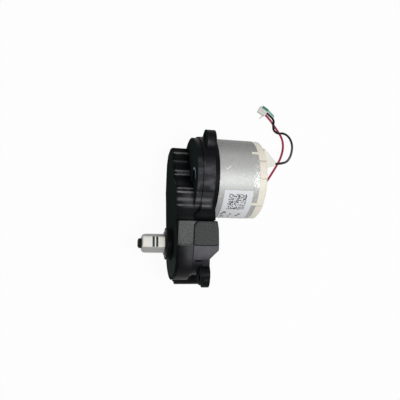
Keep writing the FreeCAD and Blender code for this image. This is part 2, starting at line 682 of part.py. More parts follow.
class Gear:
    """A spur gear's true involute outline, seen along its shaft."""

    def __init__(self, teeth, module, shift):
        self.teeth = teeth
        self.module = module
        self.shift = shift
        self.pitch = teeth * module / 2
        self.base = self.pitch * math.cos(PRESSURE_ANGLE)
        self.tip = self.pitch + module * (1 + shift)
        self.root = self.pitch - module * (1.25 - shift)

    def half_angle(self, radius):
        """Half of a tooth's angle at a radius, thinned by the backlash."""
        thickness = self.module * (math.pi / 2 + 2 * self.shift * math.tan(PRESSURE_ANGLE))
        thickness -= number(S.backlash)
        angle = math.acos(min(1.0, self.base / radius))
        return (thickness / (2 * self.pitch) + involute(PRESSURE_ANGLE) - involute(angle))

    def outline(self, phase):
        """One closed wire: flank, tip, flank and root for each tooth, tooth 0 centred at phase."""
        start = max(self.base, self.root) * 1.0005
        steps = [start + (self.tip - start) * i / 3 for i in range(4)]
        root_half = self.half_angle(start)
        step = 2 * math.pi / self.teeth
        edges = []
        for tooth in range(self.teeth):
            middle = phase + tooth * step
            rise = [polar(r, middle - self.half_angle(r)) for r in steps]
            fall = [polar(r, middle + self.half_angle(r)) for r in reversed(steps)]
            low_left = polar(self.root, middle - root_half)
            low_right = polar(self.root, middle + root_half)
            following = polar(self.root, middle + step - root_half)
            edges.append(Part.makeLine(low_left, rise[0]))
            edges.append(flank(rise))
            edges.append(Part.Arc(rise[-1], polar(self.tip, middle), fall[0]).toShape())
            edges.append(flank(fall))
            edges.append(Part.makeLine(fall[-1], low_right))
            edges.append(Part.Arc(low_right, polar(self.root, middle + step / 2), following).toShape())
        return Part.Wire(edges)

    def prism(self, phase, axis, start, width):
        """The toothed blank on its axis."""
        face = Part.Face(self.outline(phase))
        solid = face.extrude(Vector(width, 0, 0))
        solid.translate(Vector(number(start), number(axis[0]), number(axis[1])))
        return solid


def involute(angle):
    return math.tan(angle) - angle


def polar(radius, angle):
    """A point of the plane across the shafts, its angle counted from +Y towards +Z."""
    return Vector(0, radius * math.cos(angle), radius * math.sin(angle))


def flank(points):
    curve = Part.BSplineCurve()
    curve.interpolate(points)
    return curve.toShape()


def gear_pair(small, large, distance):
    """The two gears of a stage, their module set by the centre distance."""
    module = 2 * number(distance) / (small[0] + large[0])
    return Gear(small[0], module, small[1]), Gear(large[0], module, large[1])


def meshing_phase(driver, driver_axis, driver_phase, driven, driven_axis):
    """The turn of the driven gear that puts its tooth in the driver's gap."""
    line = math.atan2(number(driven_axis[1]) - number(driver_axis[1]),
                      number(driven_axis[0]) - number(driver_axis[0]))
    share = (line - driver_phase) * driver.teeth / (2 * math.pi)
    return line + math.pi - (0.5 - share) * 2 * math.pi / driven.teeth


def tube(axis, start, width, inner, outer):
    """A plain ring of material on an axis, for cuts and joins."""
    base = Vector(number(start), number(axis[0]), number(axis[1]))
    along = Vector(1, 0, 0)
    outside = Part.makeCylinder(outer, width, base, along)
    return outside.cut(Part.makeCylinder(inner, width, base, along)) if inner else outside


def add_shape(name, shape):
    """A sub-part whose shape is worked out here from the sheet's sizes."""
    feature = document.addObject("Part::Feature", name)
    feature.Shape = shape
    return finish(name, feature)


def make_gear_train():
    """Both stages in mesh: motor pinion, idler with its wheel and pinion, output gear."""
    pinion, wheel = gear_pair(MOTOR_PINION, IDLER_WHEEL, S.first_pitch)
    idler_pinion, output = gear_pair(IDLER_PINION, OUTPUT_GEAR, S.second_pitch)
    low_phase = meshing_phase(output, OUTPUT_AXIS, 0.0, idler_pinion, IDLER_AXIS)
    motor_phase = meshing_phase(wheel, IDLER_AXIS, 0.0, pinion, MOTOR_AXIS)
    make_output_gear(output)
    make_idler(wheel, idler_pinion, low_phase)
    width = number(S.wheel_width)
    shape = pinion.prism(motor_phase, MOTOR_AXIS, S.wheel_front_x, width)
    bore = number(S.motor_shaft_radius + S.seat_gap)
    add_shape("motor_pinion", shape.cut(tube(MOTOR_AXIS, S.wheel_front_x, width, 0, bore)))


def make_output_gear(output):
    """Output gear with a thinned web between its hub and its rim."""
    width = number(S.gear_width)
    front = number(S.gear_front_x)
    shape = output.prism(0.0, OUTPUT_AXIS, front, width)
    bore = number(S.gear_seat_radius + S.seat_gap)
    shape = shape.cut(tube(OUTPUT_AXIS, front, width, 0, bore))
    web_cut = width * 0.3
    for start in (front, front + width - web_cut):
        shape = shape.cut(tube(OUTPUT_AXIS, start, web_cut, bore + 1.9, output.root - 1.3))
    add_shape("output_gear", shape)


def make_idler(wheel, idler_pinion, phase):
    """Idler moulded in one piece: a wide pinion in front of the large wheel."""
    wheel_x = number(S.wheel_front_x)
    width = number(S.wheel_width)
    front = number(S.gear_front_x)
    shape = wheel.prism(0.0, IDLER_AXIS, wheel_x, width)
    rear_cut = width * 0.35
    shape = shape.cut(tube(IDLER_AXIS, wheel_x + width - rear_cut, rear_cut, 3.2, wheel.root - 1.2))
    shape = shape.fuse(idler_pinion.prism(phase, IDLER_AXIS, front, wheel_x - front))
    bore = number(S.idler_pin_radius + S.running_gap)
    shape = shape.cut(tube(IDLER_AXIS, front, wheel_x + width - front, 0, bore))
    add_shape("idler_gear", shape)


def make_idler_fittings():
    """The idler's steel pin and the washer at each end of it."""
    rear = S.wheel_front_x + S.wheel_width
    pin_end = S.seat_x - 0.45
    zero = Size(0, "0")
    turned("idler_pin", IDLER_AXIS, [
        (COVER_FLOOR_X - 0.85, zero), (COVER_FLOOR_X - 0.85, S.idler_pin_radius - 0.15),
        (COVER_FLOOR_X - 0.7, S.idler_pin_radius), (pin_end - 0.15, S.idler_pin_radius),
        (pin_end, S.idler_pin_radius - 0.15), (pin_end, zero)])
    bore = S.idler_pin_radius + S.seat_gap
    ring("idler_washer_front", IDLER_AXIS, COVER_FLOOR_X + 0.03, S.gear_front_x - 0.05, bore,
         S.idler_pin_radius * 2.4)
    ring("idler_washer_rear", IDLER_AXIS, rear + 0.05, SEAT_FRONT_X - 0.03, bore,
         S.idler_pin_radius * 2.4)


def make_motor_can():
    """Drawn can with a boss that holds the front bush, and notches for the end cap's ribs."""
    body = new_body("motor_can")
    front = S.seat_x + 0.02
    boss = front - S.can_boss_height
    lip = boss + 0.45
    holder = front + 1.8
    add_turned(body, MOTOR_AXIS, [
        (boss, MOTOR_BUSH_RADIUS - 1), (boss, S.can_boss_radius), (front, S.can_boss_radius),
        (front, S.can_radius - CAN_STEP), (front + CAN_STEP, S.can_radius),
        (S.can_end_x, S.can_radius), (S.can_end_x, CAN_BORE), (front + S.can_wall, CAN_BORE),
        (front + S.can_wall, MOTOR_BUSH_RADIUS + 0.8), (holder, MOTOR_BUSH_RADIUS + 0.8),
        (holder, MOTOR_BUSH_RADIUS + S.seat_gap), (lip, MOTOR_BUSH_RADIUS + S.seat_gap),
        (lip, MOTOR_BUSH_RADIUS - 1)])
    for side in (1, -1):
        place = (S.motor_y, S.motor_screw_offset * side)
        pocket(body, front, front + S.can_wall, (place, S.motor_screw_radius + S.seat_gap))
    for corners in rib_outlines(S.cap_rib_width / 2 + 0.1, CAN_BORE - 1, S.can_radius + 1):
        pocket(body, S.can_end_x - S.cap_rib_length, S.can_end_x, corners)
    finish("motor_can", body)


def rib_outlines(half_width, inner, outer):
    """The four places of the end cap's ribs, as outlines seen along the motor's axis."""
    outlines = []
    for turn in (90 - S.cap_rib_angle, 90 + S.cap_rib_angle, 270 - S.cap_rib_angle,
                 270 + S.cap_rib_angle):
        corners = []
        for out, along in ((inner, -half_width), (outer, -half_width), (outer, half_width),
                           (inner, half_width)):
            corners.append((S.motor_y + cosine(turn) * out - sine(turn) * along,
                            sine(turn) * out + cosine(turn) * along))
        outlines.append(corners)
    return outlines


def terminal_outline(name, spare):
    y, z = TERMINALS[name]
    half_y = TERMINAL_WIDTH / 2 + spare
    half_z = TERMINAL_THICKNESS / 2 + spare
    return rectangle(*(Size(v, "(0 + %s)" % v) for v in (y - half_y, y + half_y, z - half_z, z + half_z)))


def make_end_cap():
    """Moulded end cap: a plug in the can, a flange behind its rim and ribs in its notches."""
    body = new_body("motor_end_cap")
    start = S.can_end_x - S.cap_plug_depth
    plug = CAN_BORE - 0.04
    flange = S.can_end_x + 0.03
    bevel = S.edge_round
    hub = MOTOR_BUSH_RADIUS + 0.9
    zero = Size(0, "0")
    add_turned(body, MOTOR_AXIS, [
        (start, zero), (start, plug), (flange, plug), (flange, S.can_radius - 0.05),
        (CAP_END_X - bevel, S.can_radius - 0.05), (CAP_END_X, S.can_radius - 0.05 - bevel),
        (CAP_END_X, hub), (CAP_END_X + 0.6, hub - 0.3), (CAP_END_X + 0.6, zero)])
    for corners in rib_outlines(S.cap_rib_width / 2, plug - 1, S.can_radius - 0.02):
        pad(body, S.can_end_x - S.cap_rib_length + 0.05, flange + 0.5, corners)
    pocket(body, start, CAP_END_X - 0.7, (MOTOR_AXIS, MOTOR_BUSH_RADIUS + S.seat_gap))
    for name in TERMINALS:
        pocket(body, start, CAP_END_X, terminal_outline(name, 0.03))
    finish("motor_end_cap", body)


def make_terminals():
    """The two tinned terminal blades through the end cap."""
    start = S.can_end_x - S.cap_plug_depth - 1.2
    for name, end_x in (("red", RED_ROUTE[0][0] - 0.35), ("black", BLACK_ROUTE[0][0] - 2.4)):
        body = new_body("terminal_" + name)
        pad(body, start, Size(end_x, str(end_x)), terminal_outline(name, 0.0))
        finish("terminal_" + name, body)


def make_terminal_boot():
    """Tapered insulating boot over the black lead's terminal."""
    body = new_body("terminal_boot")
    tip_x = Size(BLACK_ROUTE[0][0] - 0.2, str(BLACK_ROUTE[0][0] - 0.2))
    sketches = []
    for place, limits in ((CAP_END_X + 0.02, BOOT_BASE), (tip_x, BOOT_TIP)):
        sketch = new_sketch(body, "YZ_Plane", place)
        draw_polygon(sketch, rectangle(*(Size(v, str(v)) for v in limits)))
        sketches.append(sketch)
    loft = body.newObject("PartDesign::AdditiveLoft", "Loft")
    loft.Profile = sketches[0]
    loft.Sections = sketches[1:]
    loft.Ruled = True
    document.recompute()
    pocket(body, CAP_END_X, tip_x - 2.15, terminal_outline("black", 0.03))
    finish("terminal_boot", body)


def make_motor_inside():
    """Bushes, magnets with their clip, and the armature on its shaft."""
    front = S.seat_x + 0.02 - S.can_boss_height + 0.5
    ring("motor_front_bush", MOTOR_AXIS, front, S.seat_x + 1.8,
         S.motor_shaft_radius + S.running_gap, MOTOR_BUSH_RADIUS)
    ring("motor_rear_bush", MOTOR_AXIS, S.can_end_x - S.cap_plug_depth + 0.3, CAP_END_X - 0.75,
         S.motor_shaft_radius + S.running_gap, MOTOR_BUSH_RADIUS)
    make_magnets()
    zero = Size(0, "0")
    start = S.wheel_front_x - 0.2
    end = CAP_END_X - 1.0
    turned("motor_shaft", MOTOR_AXIS, [
        (start, zero), (start, S.motor_shaft_radius - 0.15), (start + 0.15, S.motor_shaft_radius),
        (end, S.motor_shaft_radius), (end, zero)])
    make_armature()


def sector(axis, start, width, inner, outer, low, high):
    """Part of a ring between two angles in degrees, counted from +Y towards +Z."""
    base = Vector(number(start), number(axis[0]), number(axis[1]))
    whole = tube(axis, start, width, inner, outer)
    reach = outer * 2.5
    middle = math.radians((low + high) / 2)
    points = [Vector(0, 0, 0)] + [polar(reach, math.radians(a)) for a in (low, math.degrees(middle), high)]
    wedge = Part.Face(Part.makePolygon(points + points[:1])).extrude(Vector(width, 0, 0))
    wedge.translate(base)
    return whole.common(wedge)


def make_magnets():
    """Two ferrite segments and the wire clip that spreads them."""
    start = S.armature_front_x - 1.5
    width = number(ARMATURE_LENGTH + 3)
    inner = number(MAGNET_BORE)
    outer = number(CAN_BORE) - 0.03
    add_shape("magnet_upper", sector(MOTOR_AXIS, start, width, inner, outer, 20, 160))
    add_shape("magnet_lower", sector(MOTOR_AXIS, start, width, inner, outer, 200, 340))
    clip = sector(MOTOR_AXIS, start, width, outer - 1.0, outer, -16, 16)
    clip = clip.fuse(sector(MOTOR_AXIS, start, width, inner + 0.2, outer, -19, -14))
    clip = clip.fuse(sector(MOTOR_AXIS, start, width, inner + 0.2, outer, 14, 19))
    add_shape("magnet_clip", clip.removeSplitter())


def make_armature():
    """Three-pole core with its coils, the commutator and the ring that quietens it."""
    start = number(S.armature_front_x)
    width = number(ARMATURE_LENGTH)
    outer = number(ARMATURE_RADIUS)
    bore = number(S.motor_shaft_radius + S.seat_gap)
    core = tube(MOTOR_AXIS, start, width, 0, 3.6)
    coils = []
    for pole in range(3):
        turn = 120 * pole + 90
        core = core.fuse(sector(MOTOR_AXIS, start, width, outer - 1.3, outer, turn - 50, turn + 50))
        core = core.fuse(radial_bar(start, width, 3.0, outer - 0.6, 1.6, turn))
        ends = radial_bar(start - 1.2, width + 2.4, 4.6, outer - 2.0, 3.3, turn)
        coils.append(ends.cut(radial_bar(start - 0.03, width + 0.06, 3.0, outer, 1.63, turn)))
    core = core.cut(tube(MOTOR_AXIS, start, width, 0, bore)).removeSplitter()
    add_shape("armature_core", core)
    add_shape("armature_windings", Part.makeCompound(coils))
    rear = start + width
    add_shape("commutator", make_commutator(rear + 1.5, bore))
    add_shape("varistor_ring", tube(MOTOR_AXIS, rear + 1.25, 0.7, 3.62, 5.6))


def radial_bar(start, width, inner, outer, half, turn):
    """A bar along the motor shaft that reaches outwards at an angle."""
    bar = Part.makeBox(width, outer - inner, 2 * half, Vector(0, inner, -half))
    bar.rotate(Vector(0, 0, 0), Vector(1, 0, 0), turn)
    bar.translate(Vector(start, number(MOTOR_AXIS[0]), 0))
    return bar


def make_commutator(start, bore):
    """Moulded hub with three copper segments parted by slots."""
    length = 2.5
    radius = 3.0
    body = tube(MOTOR_AXIS, start, length, bore, radius)
    for slot in range(3):
        body = body.cut(radial_bar(start + 0.8, length, radius - 0.5, radius + 1, 0.15, 120 * slot + 30))
    return body.fuse(tube(MOTOR_AXIS, start, 0.5, bore, radius + 0.6)).removeSplitter()


def make_brushes():
    """Spring arms under the terminals, each with a carbon brush against the commutator."""
    x = number(S.armature_front_x + ARMATURE_LENGTH) + 2.25
    radius = 3.04
    for side, name, blade in ((1, "right", "black"), (-1, "left", "red")):
        inner = number(S.motor_y) + side * radius
        brush = Part.makeBox(1.6, 1.6, 2.0, Vector(x, min(inner, inner + side * 1.6), -1.0))
        add_shape("carbon_brush_" + name, brush)
        back = inner + side * 1.6
        foot_y, foot_z = TERMINALS[blade]
        foot_z += side * TERMINAL_THICKNESS / 2
        strip = Part.makeBox(1.6, 0.3, abs(foot_z) + 1.3,
                             Vector(x, min(back, back + side * 0.3), min(-side * 1.0, foot_z + side * 0.3)))
        foot_end = foot_y + side * TERMINAL_WIDTH / 2
        foot = Part.makeBox(1.6, abs(foot_end - back), 0.3,
                            Vector(x, min(back, foot_end), min(foot_z, foot_z + side * 0.3)))
        add_shape("brush_arm_" + name, strip.fuse(foot).removeSplitter())


def screw(place, head_x, direction, shank_radius, head_radius, head_height, length):
    """A pan-head screw along X; direction is the way from its head to its point."""
    base = Vector(number(head_x), number(place[0]), number(place[1]))
    along = Vector(direction, 0, 0)
    head = Part.makeCylinder(head_radius, head_height, base - along * head_height, along)
    slot = Part.makeBox(head_height * 0.5, head_radius * 1.5, 0.5,
                        Vector(-head_height * 0.25, -head_radius * 0.75, -0.25))
    slot.translate(base - along * (head_height * 0.76))
    cross = slot.copy()
    cross.rotate(base, Vector(1, 0, 0), 90)
    shank = Part.makeCylinder(shank_radius, length, base, along)
    return head.cut(slot).cut(cross).fuse(shank).removeSplitter()


def make_screws():
    """The two motor screws and the three case screws."""
    motor = [screw((S.motor_y, S.motor_screw_offset * side), SEAT_FRONT_X - 0.02, 1,
                   number(S.motor_screw_radius), number(S.motor_head_radius),
                   number(S.motor_head_height), 3.2) for side in (1, -1)]
    add_shape("motor_screws", Part.makeCompound(motor))
    radii = (number(S.case_screw_radius), number(S.case_head_radius), number(S.case_head_height))
    case = [screw(lug, end + 0.02, -1, *radii, number(end - S.seam_low_x) + 2) for lug, end in LUG_ENDS]
    case.append(screw(FRONT_SCREW, FRONT_SCREW_SEAT_X - 0.02, 1, *radii, 5.0))
    add_shape("case_screws", Part.makeCompound(case))


def make_label():
    """Blank foil label wrapped round the can's upper side, towards the output shaft."""
    inner = number(S.can_radius) + 0.02
    outer = inner + number(S.label_thickness)
    add_shape("motor_label", sector(MOTOR_AXIS, S.label_front_x, number(S.label_length), inner,
                                    outer, 107.5, 177))


def lead(name, route):
    """A lead's tube: straight runs joined by arcs as large as the runs allow."""
    points = [Vector(*p) for p in route]
    radius = number(S.wire_diameter) / 2
    edges = []
    tightest = None
    place = points[0]
    for before, corner, after in zip(points, points[1:], points[2:]):
        back = before - corner
        ahead = after - corner
        reach = 0.45 * min(back.Length, ahead.Length)
        turn = math.pi - back.getAngle(ahead)
        arc_radius = reach / math.tan(turn / 2)
        tightest = min(arc_radius, tightest or arc_radius)
        start = corner + back * (reach / back.Length)
        end = corner + ahead * (reach / ahead.Length)
        inward = (back * (1 / back.Length) + ahead * (1 / ahead.Length)).normalize()
        middle = corner + inward * (arc_radius / math.cos(turn / 2) - arc_radius)
        edges.append(Part.LineSegment(place, start).toShape())
        edges.append(Part.Arc(start, middle, end).toShape())
        place = end
    edges.append(Part.LineSegment(place, points[-1]).toShape())
    path = Part.Wire(edges)
    profile = Part.Wire(Part.makeCircle(radius, points[0], points[1] - points[0]))
    solid = path.makePipeShell([profile], True, False)
    length = path.Length
    print("%s: %.1f mm long, tightest arc %.2f mm, volume %.2f of %.2f mm3" % (
        name, length, tightest, solid.Volume, length * math.pi * radius ** 2))
    add_shape(name, solid)


def plug_place(solid):
    """Turn a shape drawn along +X from the origin to where the plug lies."""
    solid.rotate(Vector(0, 0, 0), Vector(0, 0, 1), PLUG_TURN)
    solid.translate(PLUG_BACK)
    return solid


def make_plug():
    """Two-way crimp plug with its contacts."""
    low = -PLUG_HEIGHT / 2
    body = Part.makeBox(PLUG_LENGTH, PLUG_WIDTH, PLUG_HEIGHT, Vector(0.1, -PLUG_WIDTH / 2, low))
    latch = Part.makeBox(PLUG_LENGTH * 0.5, 0.8, 0.35, Vector(0.6, -0.4, PLUG_HEIGHT / 2))
    body = body.fuse(latch)
    contacts = []
    for side in (1, -1):
        y = side * 0.56
        hole = Part.makeBox(PLUG_LENGTH + 1, 0.84, 1.0, Vector(0.9, y - 0.42, -0.5))
        body = body.cut(hole)
        contacts.append(Part.makeBox(PLUG_LENGTH - 1.5, 0.8, 0.9, Vector(0.95, y - 0.4, -0.48)))
    add_shape("wire_connector", plug_place(body.removeSplitter()))
    add_shape("plug_contacts", plug_place(Part.makeCompound(contacts)))


def make_tape():
    """Green tape folded over the plug's side, its loose film end and a white tie strip."""
    top = PLUG_HEIGHT / 2 + 0.02
    side = -PLUG_WIDTH / 2 - 0.02
    wrap = Part.makeBox(2.9, 0.4, top + 1.4, Vector(0.3, side - 0.4, -1.0))
    wrap = wrap.fuse(Part.makeBox(2.9, 1.0, 0.4, Vector(0.3, side - 0.4, top)))
    add_shape("green_tape", plug_place(wrap.removeSplitter()))
    film = [(0.28, side - 0.35), (0.28, side + 0.55), (-3.9, side + 1.35), (-3.6, side + 0.4)]
    add_shape("tape_film", plug_place(slab(film, top + 0.05, 0.12)))
    strip = [(0.3, PLUG_WIDTH / 2 + 0.02), (1.0, PLUG_WIDTH / 2 + 0.02), (1.5, PLUG_WIDTH / 2 + 1.9),
             (1.05, PLUG_WIDTH / 2 + 2.0)]
    add_shape("plug_tie", plug_place(slab(strip, -PLUG_HEIGHT / 2, 0.3)))


def slab(corners, low, thickness):
    """A flat piece from its corners in plan."""
    points = [Vector(x, y, low) for x, y in corners]
    return Part.Face(Part.makePolygon(points + points[:1])).extrude(Vector(0, 0, thickness))


def check_and_export():
    """Refuse a broken document, then write every sub-part."""
    for item in document.Objects:
        if {"Invalid", "Error"} & set(item.State):
            raise RuntimeError("%s is %s" % (item.Label, item.State))
    os.makedirs("parts", exist_ok=True)
    for name, feature in parts:
        shape = feature.Shape
        if shape.isNull() or not shape.isValid() or not shape.Solids:
            raise RuntimeError("%s has no valid solid" % name)
        shape.exportStep("parts/%s.step" % name)
        print("%-22s %d solid(s) %9.1f mm3" % (name, len(shape.Solids), shape.Volume))


def build():
    make_gear_cover()
    make_motor_housing()
    make_seal()
    make_bushes()
    make_output_shaft()
    make_tip()
    make_output_rings()
    make_gear_train()
    make_idler_fittings()
    make_motor_can()
    make_end_cap()
    make_terminals()
    make_terminal_boot()
    make_motor_inside()
    make_brushes()
    make_screws()
    make_label()
    lead("red_wire", RED_ROUTE)
    lead("black_wire", BLACK_ROUTE)
    make_plug()
    make_tape()
    check_and_export()


build()
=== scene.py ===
"""Looks of a robot vacuum's brush drive: black gear case, zinc-plated can motor, steel drive, two leads.

Laid out as an add-on and run as a script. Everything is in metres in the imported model's frame:
+X runs along the shafts towards the motor's rear, +Y from the output shaft to the motor, +Z up.
"""

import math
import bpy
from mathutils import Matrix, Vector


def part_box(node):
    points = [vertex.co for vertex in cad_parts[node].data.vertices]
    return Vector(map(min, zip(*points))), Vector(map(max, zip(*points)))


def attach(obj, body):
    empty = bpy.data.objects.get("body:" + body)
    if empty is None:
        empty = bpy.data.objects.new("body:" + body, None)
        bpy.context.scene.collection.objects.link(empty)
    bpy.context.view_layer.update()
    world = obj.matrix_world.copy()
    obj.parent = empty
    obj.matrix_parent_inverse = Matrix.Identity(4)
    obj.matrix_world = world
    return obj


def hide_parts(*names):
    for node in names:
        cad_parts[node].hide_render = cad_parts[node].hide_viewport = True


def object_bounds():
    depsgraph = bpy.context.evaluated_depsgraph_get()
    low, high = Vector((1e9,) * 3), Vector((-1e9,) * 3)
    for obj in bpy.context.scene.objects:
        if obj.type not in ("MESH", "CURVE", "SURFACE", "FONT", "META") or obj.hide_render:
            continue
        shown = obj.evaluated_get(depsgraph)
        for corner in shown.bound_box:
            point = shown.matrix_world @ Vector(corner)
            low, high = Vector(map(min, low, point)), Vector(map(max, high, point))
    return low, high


bl_info = {
    "name": "Brush Drive Looks",
    "version": (1, 0, 0),
    "blender": (4, 5, 0),
    "location": "3D View > Sidebar > Brush Drive",
    "description": "Dresses the brush drive of a robot vacuum and sets up its studio",
    "category": "Object",
}

import bmesh
import bpy
from bpy.props import FloatProperty, FloatVectorProperty, PointerProperty
from mathutils import Matrix, Vector

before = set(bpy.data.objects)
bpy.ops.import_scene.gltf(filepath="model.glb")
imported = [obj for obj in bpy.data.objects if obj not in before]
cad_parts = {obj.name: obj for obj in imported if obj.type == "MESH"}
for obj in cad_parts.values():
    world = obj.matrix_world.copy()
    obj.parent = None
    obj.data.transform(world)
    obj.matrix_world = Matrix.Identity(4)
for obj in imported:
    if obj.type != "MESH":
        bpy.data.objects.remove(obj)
CAD_BOX = [list(corner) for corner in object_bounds()]
MM = 0.001

CAN_LOW, CAN_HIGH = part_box("motor_can")
MOTOR_Y = (CAN_LOW.y + CAN_HIGH.y) / 2
MOTOR_Z = (CAN_LOW.z + CAN_HIGH.z) / 2
CAN_RADIUS = (CAN_HIGH.y - CAN_LOW.y) / 2
FLOOR_Z = CAD_BOX[0][2]

# The square drive: how far it is turned round the shaft in degrees, its size across the flats, the
# radius of its turned corners, its lead-in as places behind its front end with the radius there, its
# rear end, and the points round it
DRIVE_TURN = -13.3
DRIVE_FLATS = 7.14 * MM
DRIVE_CORNER = 3.98 * MM
DRIVE_LEAD_IN = ((0.0, 2.95 * MM), (0.6 * MM, 3.60 * MM), (1.5 * MM, DRIVE_CORNER))
DRIVE_REAR = -0.15 * MM
DRIVE_SIDES = 96


def colour(name, description, default):
    return FloatVectorProperty(name=name, description=description, default=default, subtype="COLOR",
                               size=3, min=0.0, max=1.0)


def length(name, description, default):
    return FloatProperty(name=name, description=description, default=default, unit="LENGTH", precision=5)


def scaled(shade, factor):
    """A colour made darker or lighter, up to white."""
    return tuple(min(1.0, channel * factor) for channel in shade)


class CaseSettings(bpy.types.PropertyGroup):
    """The moulded gear case."""
    plastic: colour("Plastic", "Colour of the moulded case", (0.0035, 0.0037, 0.0045))
    # The panels' grey is partly their fine grain and partly painted sheen on their upward faces.
    panel: colour("Panel", "Colour of the fine-textured flat panels", (0.168, 0.172, 0.170))
    # Painted sheen: a lighter colour on the smooth upper sides, where they face the lamps.
    worn: colour("Worn", "Colour of smooth upper sides that catch the light", (0.135, 0.135, 0.148))
    # Painted highlights: light lines along the upper sides.
    highlight_streak: colour("Streak", "Colour of the worn streaks", (0.23, 0.23, 0.24))
    # The front faces' green-grey is painted sheen, lighter than the black plastic of the other sides.
    face: colour("Face", "Colour of the flat front face", (0.0150, 0.0215, 0.0195))
    # A painted glint: a light blue-grey ring on the front face round the tube's mouth.
    glint: colour("Glint", "Colour of the polished lip of the tube in the disc", (0.24, 0.33, 0.38))
    edge: length("Edge", "Softness of the moulded edges", 0.22 * MM)
    grain: length("Grain", "Size of the grain on the textured panels", 0.28 * MM)
    seal: colour("Seal", "Colour of the nose seal and the shaft's tip", (0.003, 0.003, 0.0035))
    haze: colour("Haze", "Colour of the haze on them", (0.007, 0.007, 0.0075))
    screw: colour("Screw", "Colour of the screws", (0.72, 0.78, 0.84))


class MotorSettings(bpy.types.PropertyGroup):
    """The can motor behind the case."""
    zinc: colour("Zinc", "Colour of the can's plating", (0.40, 0.405, 0.395))
    scratch: colour("Scratch", "Colour of bright scuffs in the plating", (0.80, 0.81, 0.80))
    ivory: colour("Ivory", "Colour of the end cap", (0.93, 0.88, 0.765))
    boot: colour("Boot", "Colour of the terminal boot", (0.92, 0.90, 0.82))
    paper: colour("Paper", "Colour of the label", (0.80, 0.82, 0.84))
    ink: colour("Ink", "Colour of the label's plain print", (0.02, 0.02, 0.024))
    tin: colour("Tin", "Colour of the tinned terminals", (0.72, 0.71, 0.66))


class DriveSettings(bpy.types.PropertyGroup):
    """The steel drive and the gears."""
    steel: colour("Steel", "Colour of ground steel", (0.60, 0.60, 0.59))
    brass: colour("Brass", "Colour of the brass pieces", (0.62, 0.44, 0.18))
    nylon: colour("Nylon", "Colour of the moulded gears", (0.80, 0.78, 0.70))
    bronze: colour("Bronze", "Colour of the bushes", (0.42, 0.27, 0.12))
    # The upper flat's near-white, between smear and flat, is a painted reflection, not the steel's
    # colour.
    flat: colour("Flat", "Colour of the drive's milled flats", (0.99, 0.97, 0.90))
    smear: colour("Smear", "Colour of the smears on them", (0.84, 0.82, 0.74))
    # Two dark bands of painted reflection across the upper flat.
    painted_front_reflection: colour("Front band", "Colour of the dark band nearer the tip", (0.004, 0.035, 0.055))
    painted_rear_reflection: colour("Rear band", "Colour of the dark band nearer the case", (0.012, 0.008, 0.006))


class InsideSettings(bpy.types.PropertyGroup):
    """What the can holds."""
    ferrite: colour("Ferrite", "Colour of the magnets", (0.055, 0.055, 0.06))
    core: colour("Core", "Colour of the armature's core", (0.30, 0.30, 0.31))
    enamel: colour("Enamel", "Colour of the windings", (0.75, 0.30, 0.12))
    groove: colour("Groove", "Colour between the turns of the windings", (0.30, 0.09, 0.03))
    segment: colour("Segment", "Colour of the commutator", (0.72, 0.36, 0.20))
    ceramic: colour("Ceramic", "Colour of the ring by the commutator", (0.22, 0.20, 0.18))
    carbon: colour("Carbon", "Colour of the brushes", (0.02, 0.02, 0.02))


class LeadSettings(bpy.types.PropertyGroup):
    """The two leads, the plug and the tape on it."""
    diameter: length("Diameter", "Diameter of a lead over its insulation", 1.0 * MM)
    red: colour("Red", "Colour of the red lead", (0.40, 0.032, 0.080))
    black: colour("Black", "Colour of the black lead", (0.003, 0.004, 0.004))
    plug: colour("Plug", "Colour of the plug", (0.78, 0.77, 0.74))
    tape: colour("Tape", "Colour of the folded tape", (0.01, 0.19, 0.11))
    film: colour("Film", "Colour of the tape's loose end", (0.10, 0.42, 0.29))


class StudioSettings(bpy.types.PropertyGroup):
    """Camera, lamps and floor."""
    lens: FloatProperty(name="Lens", description="Focal length on a 36 mm sensor", default=40.5, min=1.0)
    key: FloatProperty(name="Key", description="Power of the key lamp", default=0.42, min=0.0)
    fill: FloatProperty(name="Fill", description="Power of the fill lamp", default=0.05, min=0.0)
    sky: FloatProperty(name="Sky", description="Strength of the soft light all round",
                       default=0.42, min=0.0)
    floor: colour("Floor", "Colour of the floor", (0.92, 0.92, 0.92))


class Pattern:
    """A number that varies over a surface; the usual operators add the nodes that work it out."""

    def __init__(self, nodes, socket):
        self.nodes = nodes
        self.socket = socket

    def maths(self, operation, *values):
        node = self.nodes.node("ShaderNodeMath", {"operation": operation}, dict(enumerate(values)))
        return Pattern(self.nodes, node.outputs[0])

    def __add__(self, other):
        return self.maths("ADD", self, other)

    def __radd__(self, other):
        return self.maths("ADD", other, self)

    def __sub__(self, other):
        return self.maths("SUBTRACT", self, other)

    def __rsub__(self, other):
        return self.maths("SUBTRACT", other, self)

    def __mul__(self, other):
        return self.maths("MULTIPLY", self, other)

    def __rmul__(self, other):
        return self.maths("MULTIPLY", other, self)

    def __truediv__(self, other):
        return self.maths("DIVIDE", self, other)

    def __rtruediv__(self, other):
        return self.maths("DIVIDE", other, self)

    def absolute(self):
        return self.maths("ABSOLUTE", self)

    def whole(self):
        return self.maths("FLOOR", self)

    def larger(self, other):
        return self.maths("MAXIMUM", self, other)

    def smaller(self, other):
        return self.maths("MINIMUM", self, other)

    def turn(self, other):
        """Angle from the axis of the other number towards the axis of this one, in radians."""
        return self.maths("ARCTAN2", self, other)

    def step(self, low, high):
        """0 below low, 1 above high, and a smooth rise between them."""
        node = self.nodes.node("ShaderNodeMapRange", {"interpolation_type": "SMOOTHSTEP"},
                               {"Value": self, "From Min": low, "From Max": high,
                                "To Min": 0.0, "To Max": 1.0})
        return Pattern(self.nodes, node.outputs[0])

    def band(self, low, high, soft):
        """1 from low to high and 0 outside, with soft edges."""
        return self.step(low - soft, low + soft) * (1.0 - self.step(high - soft, high + soft))


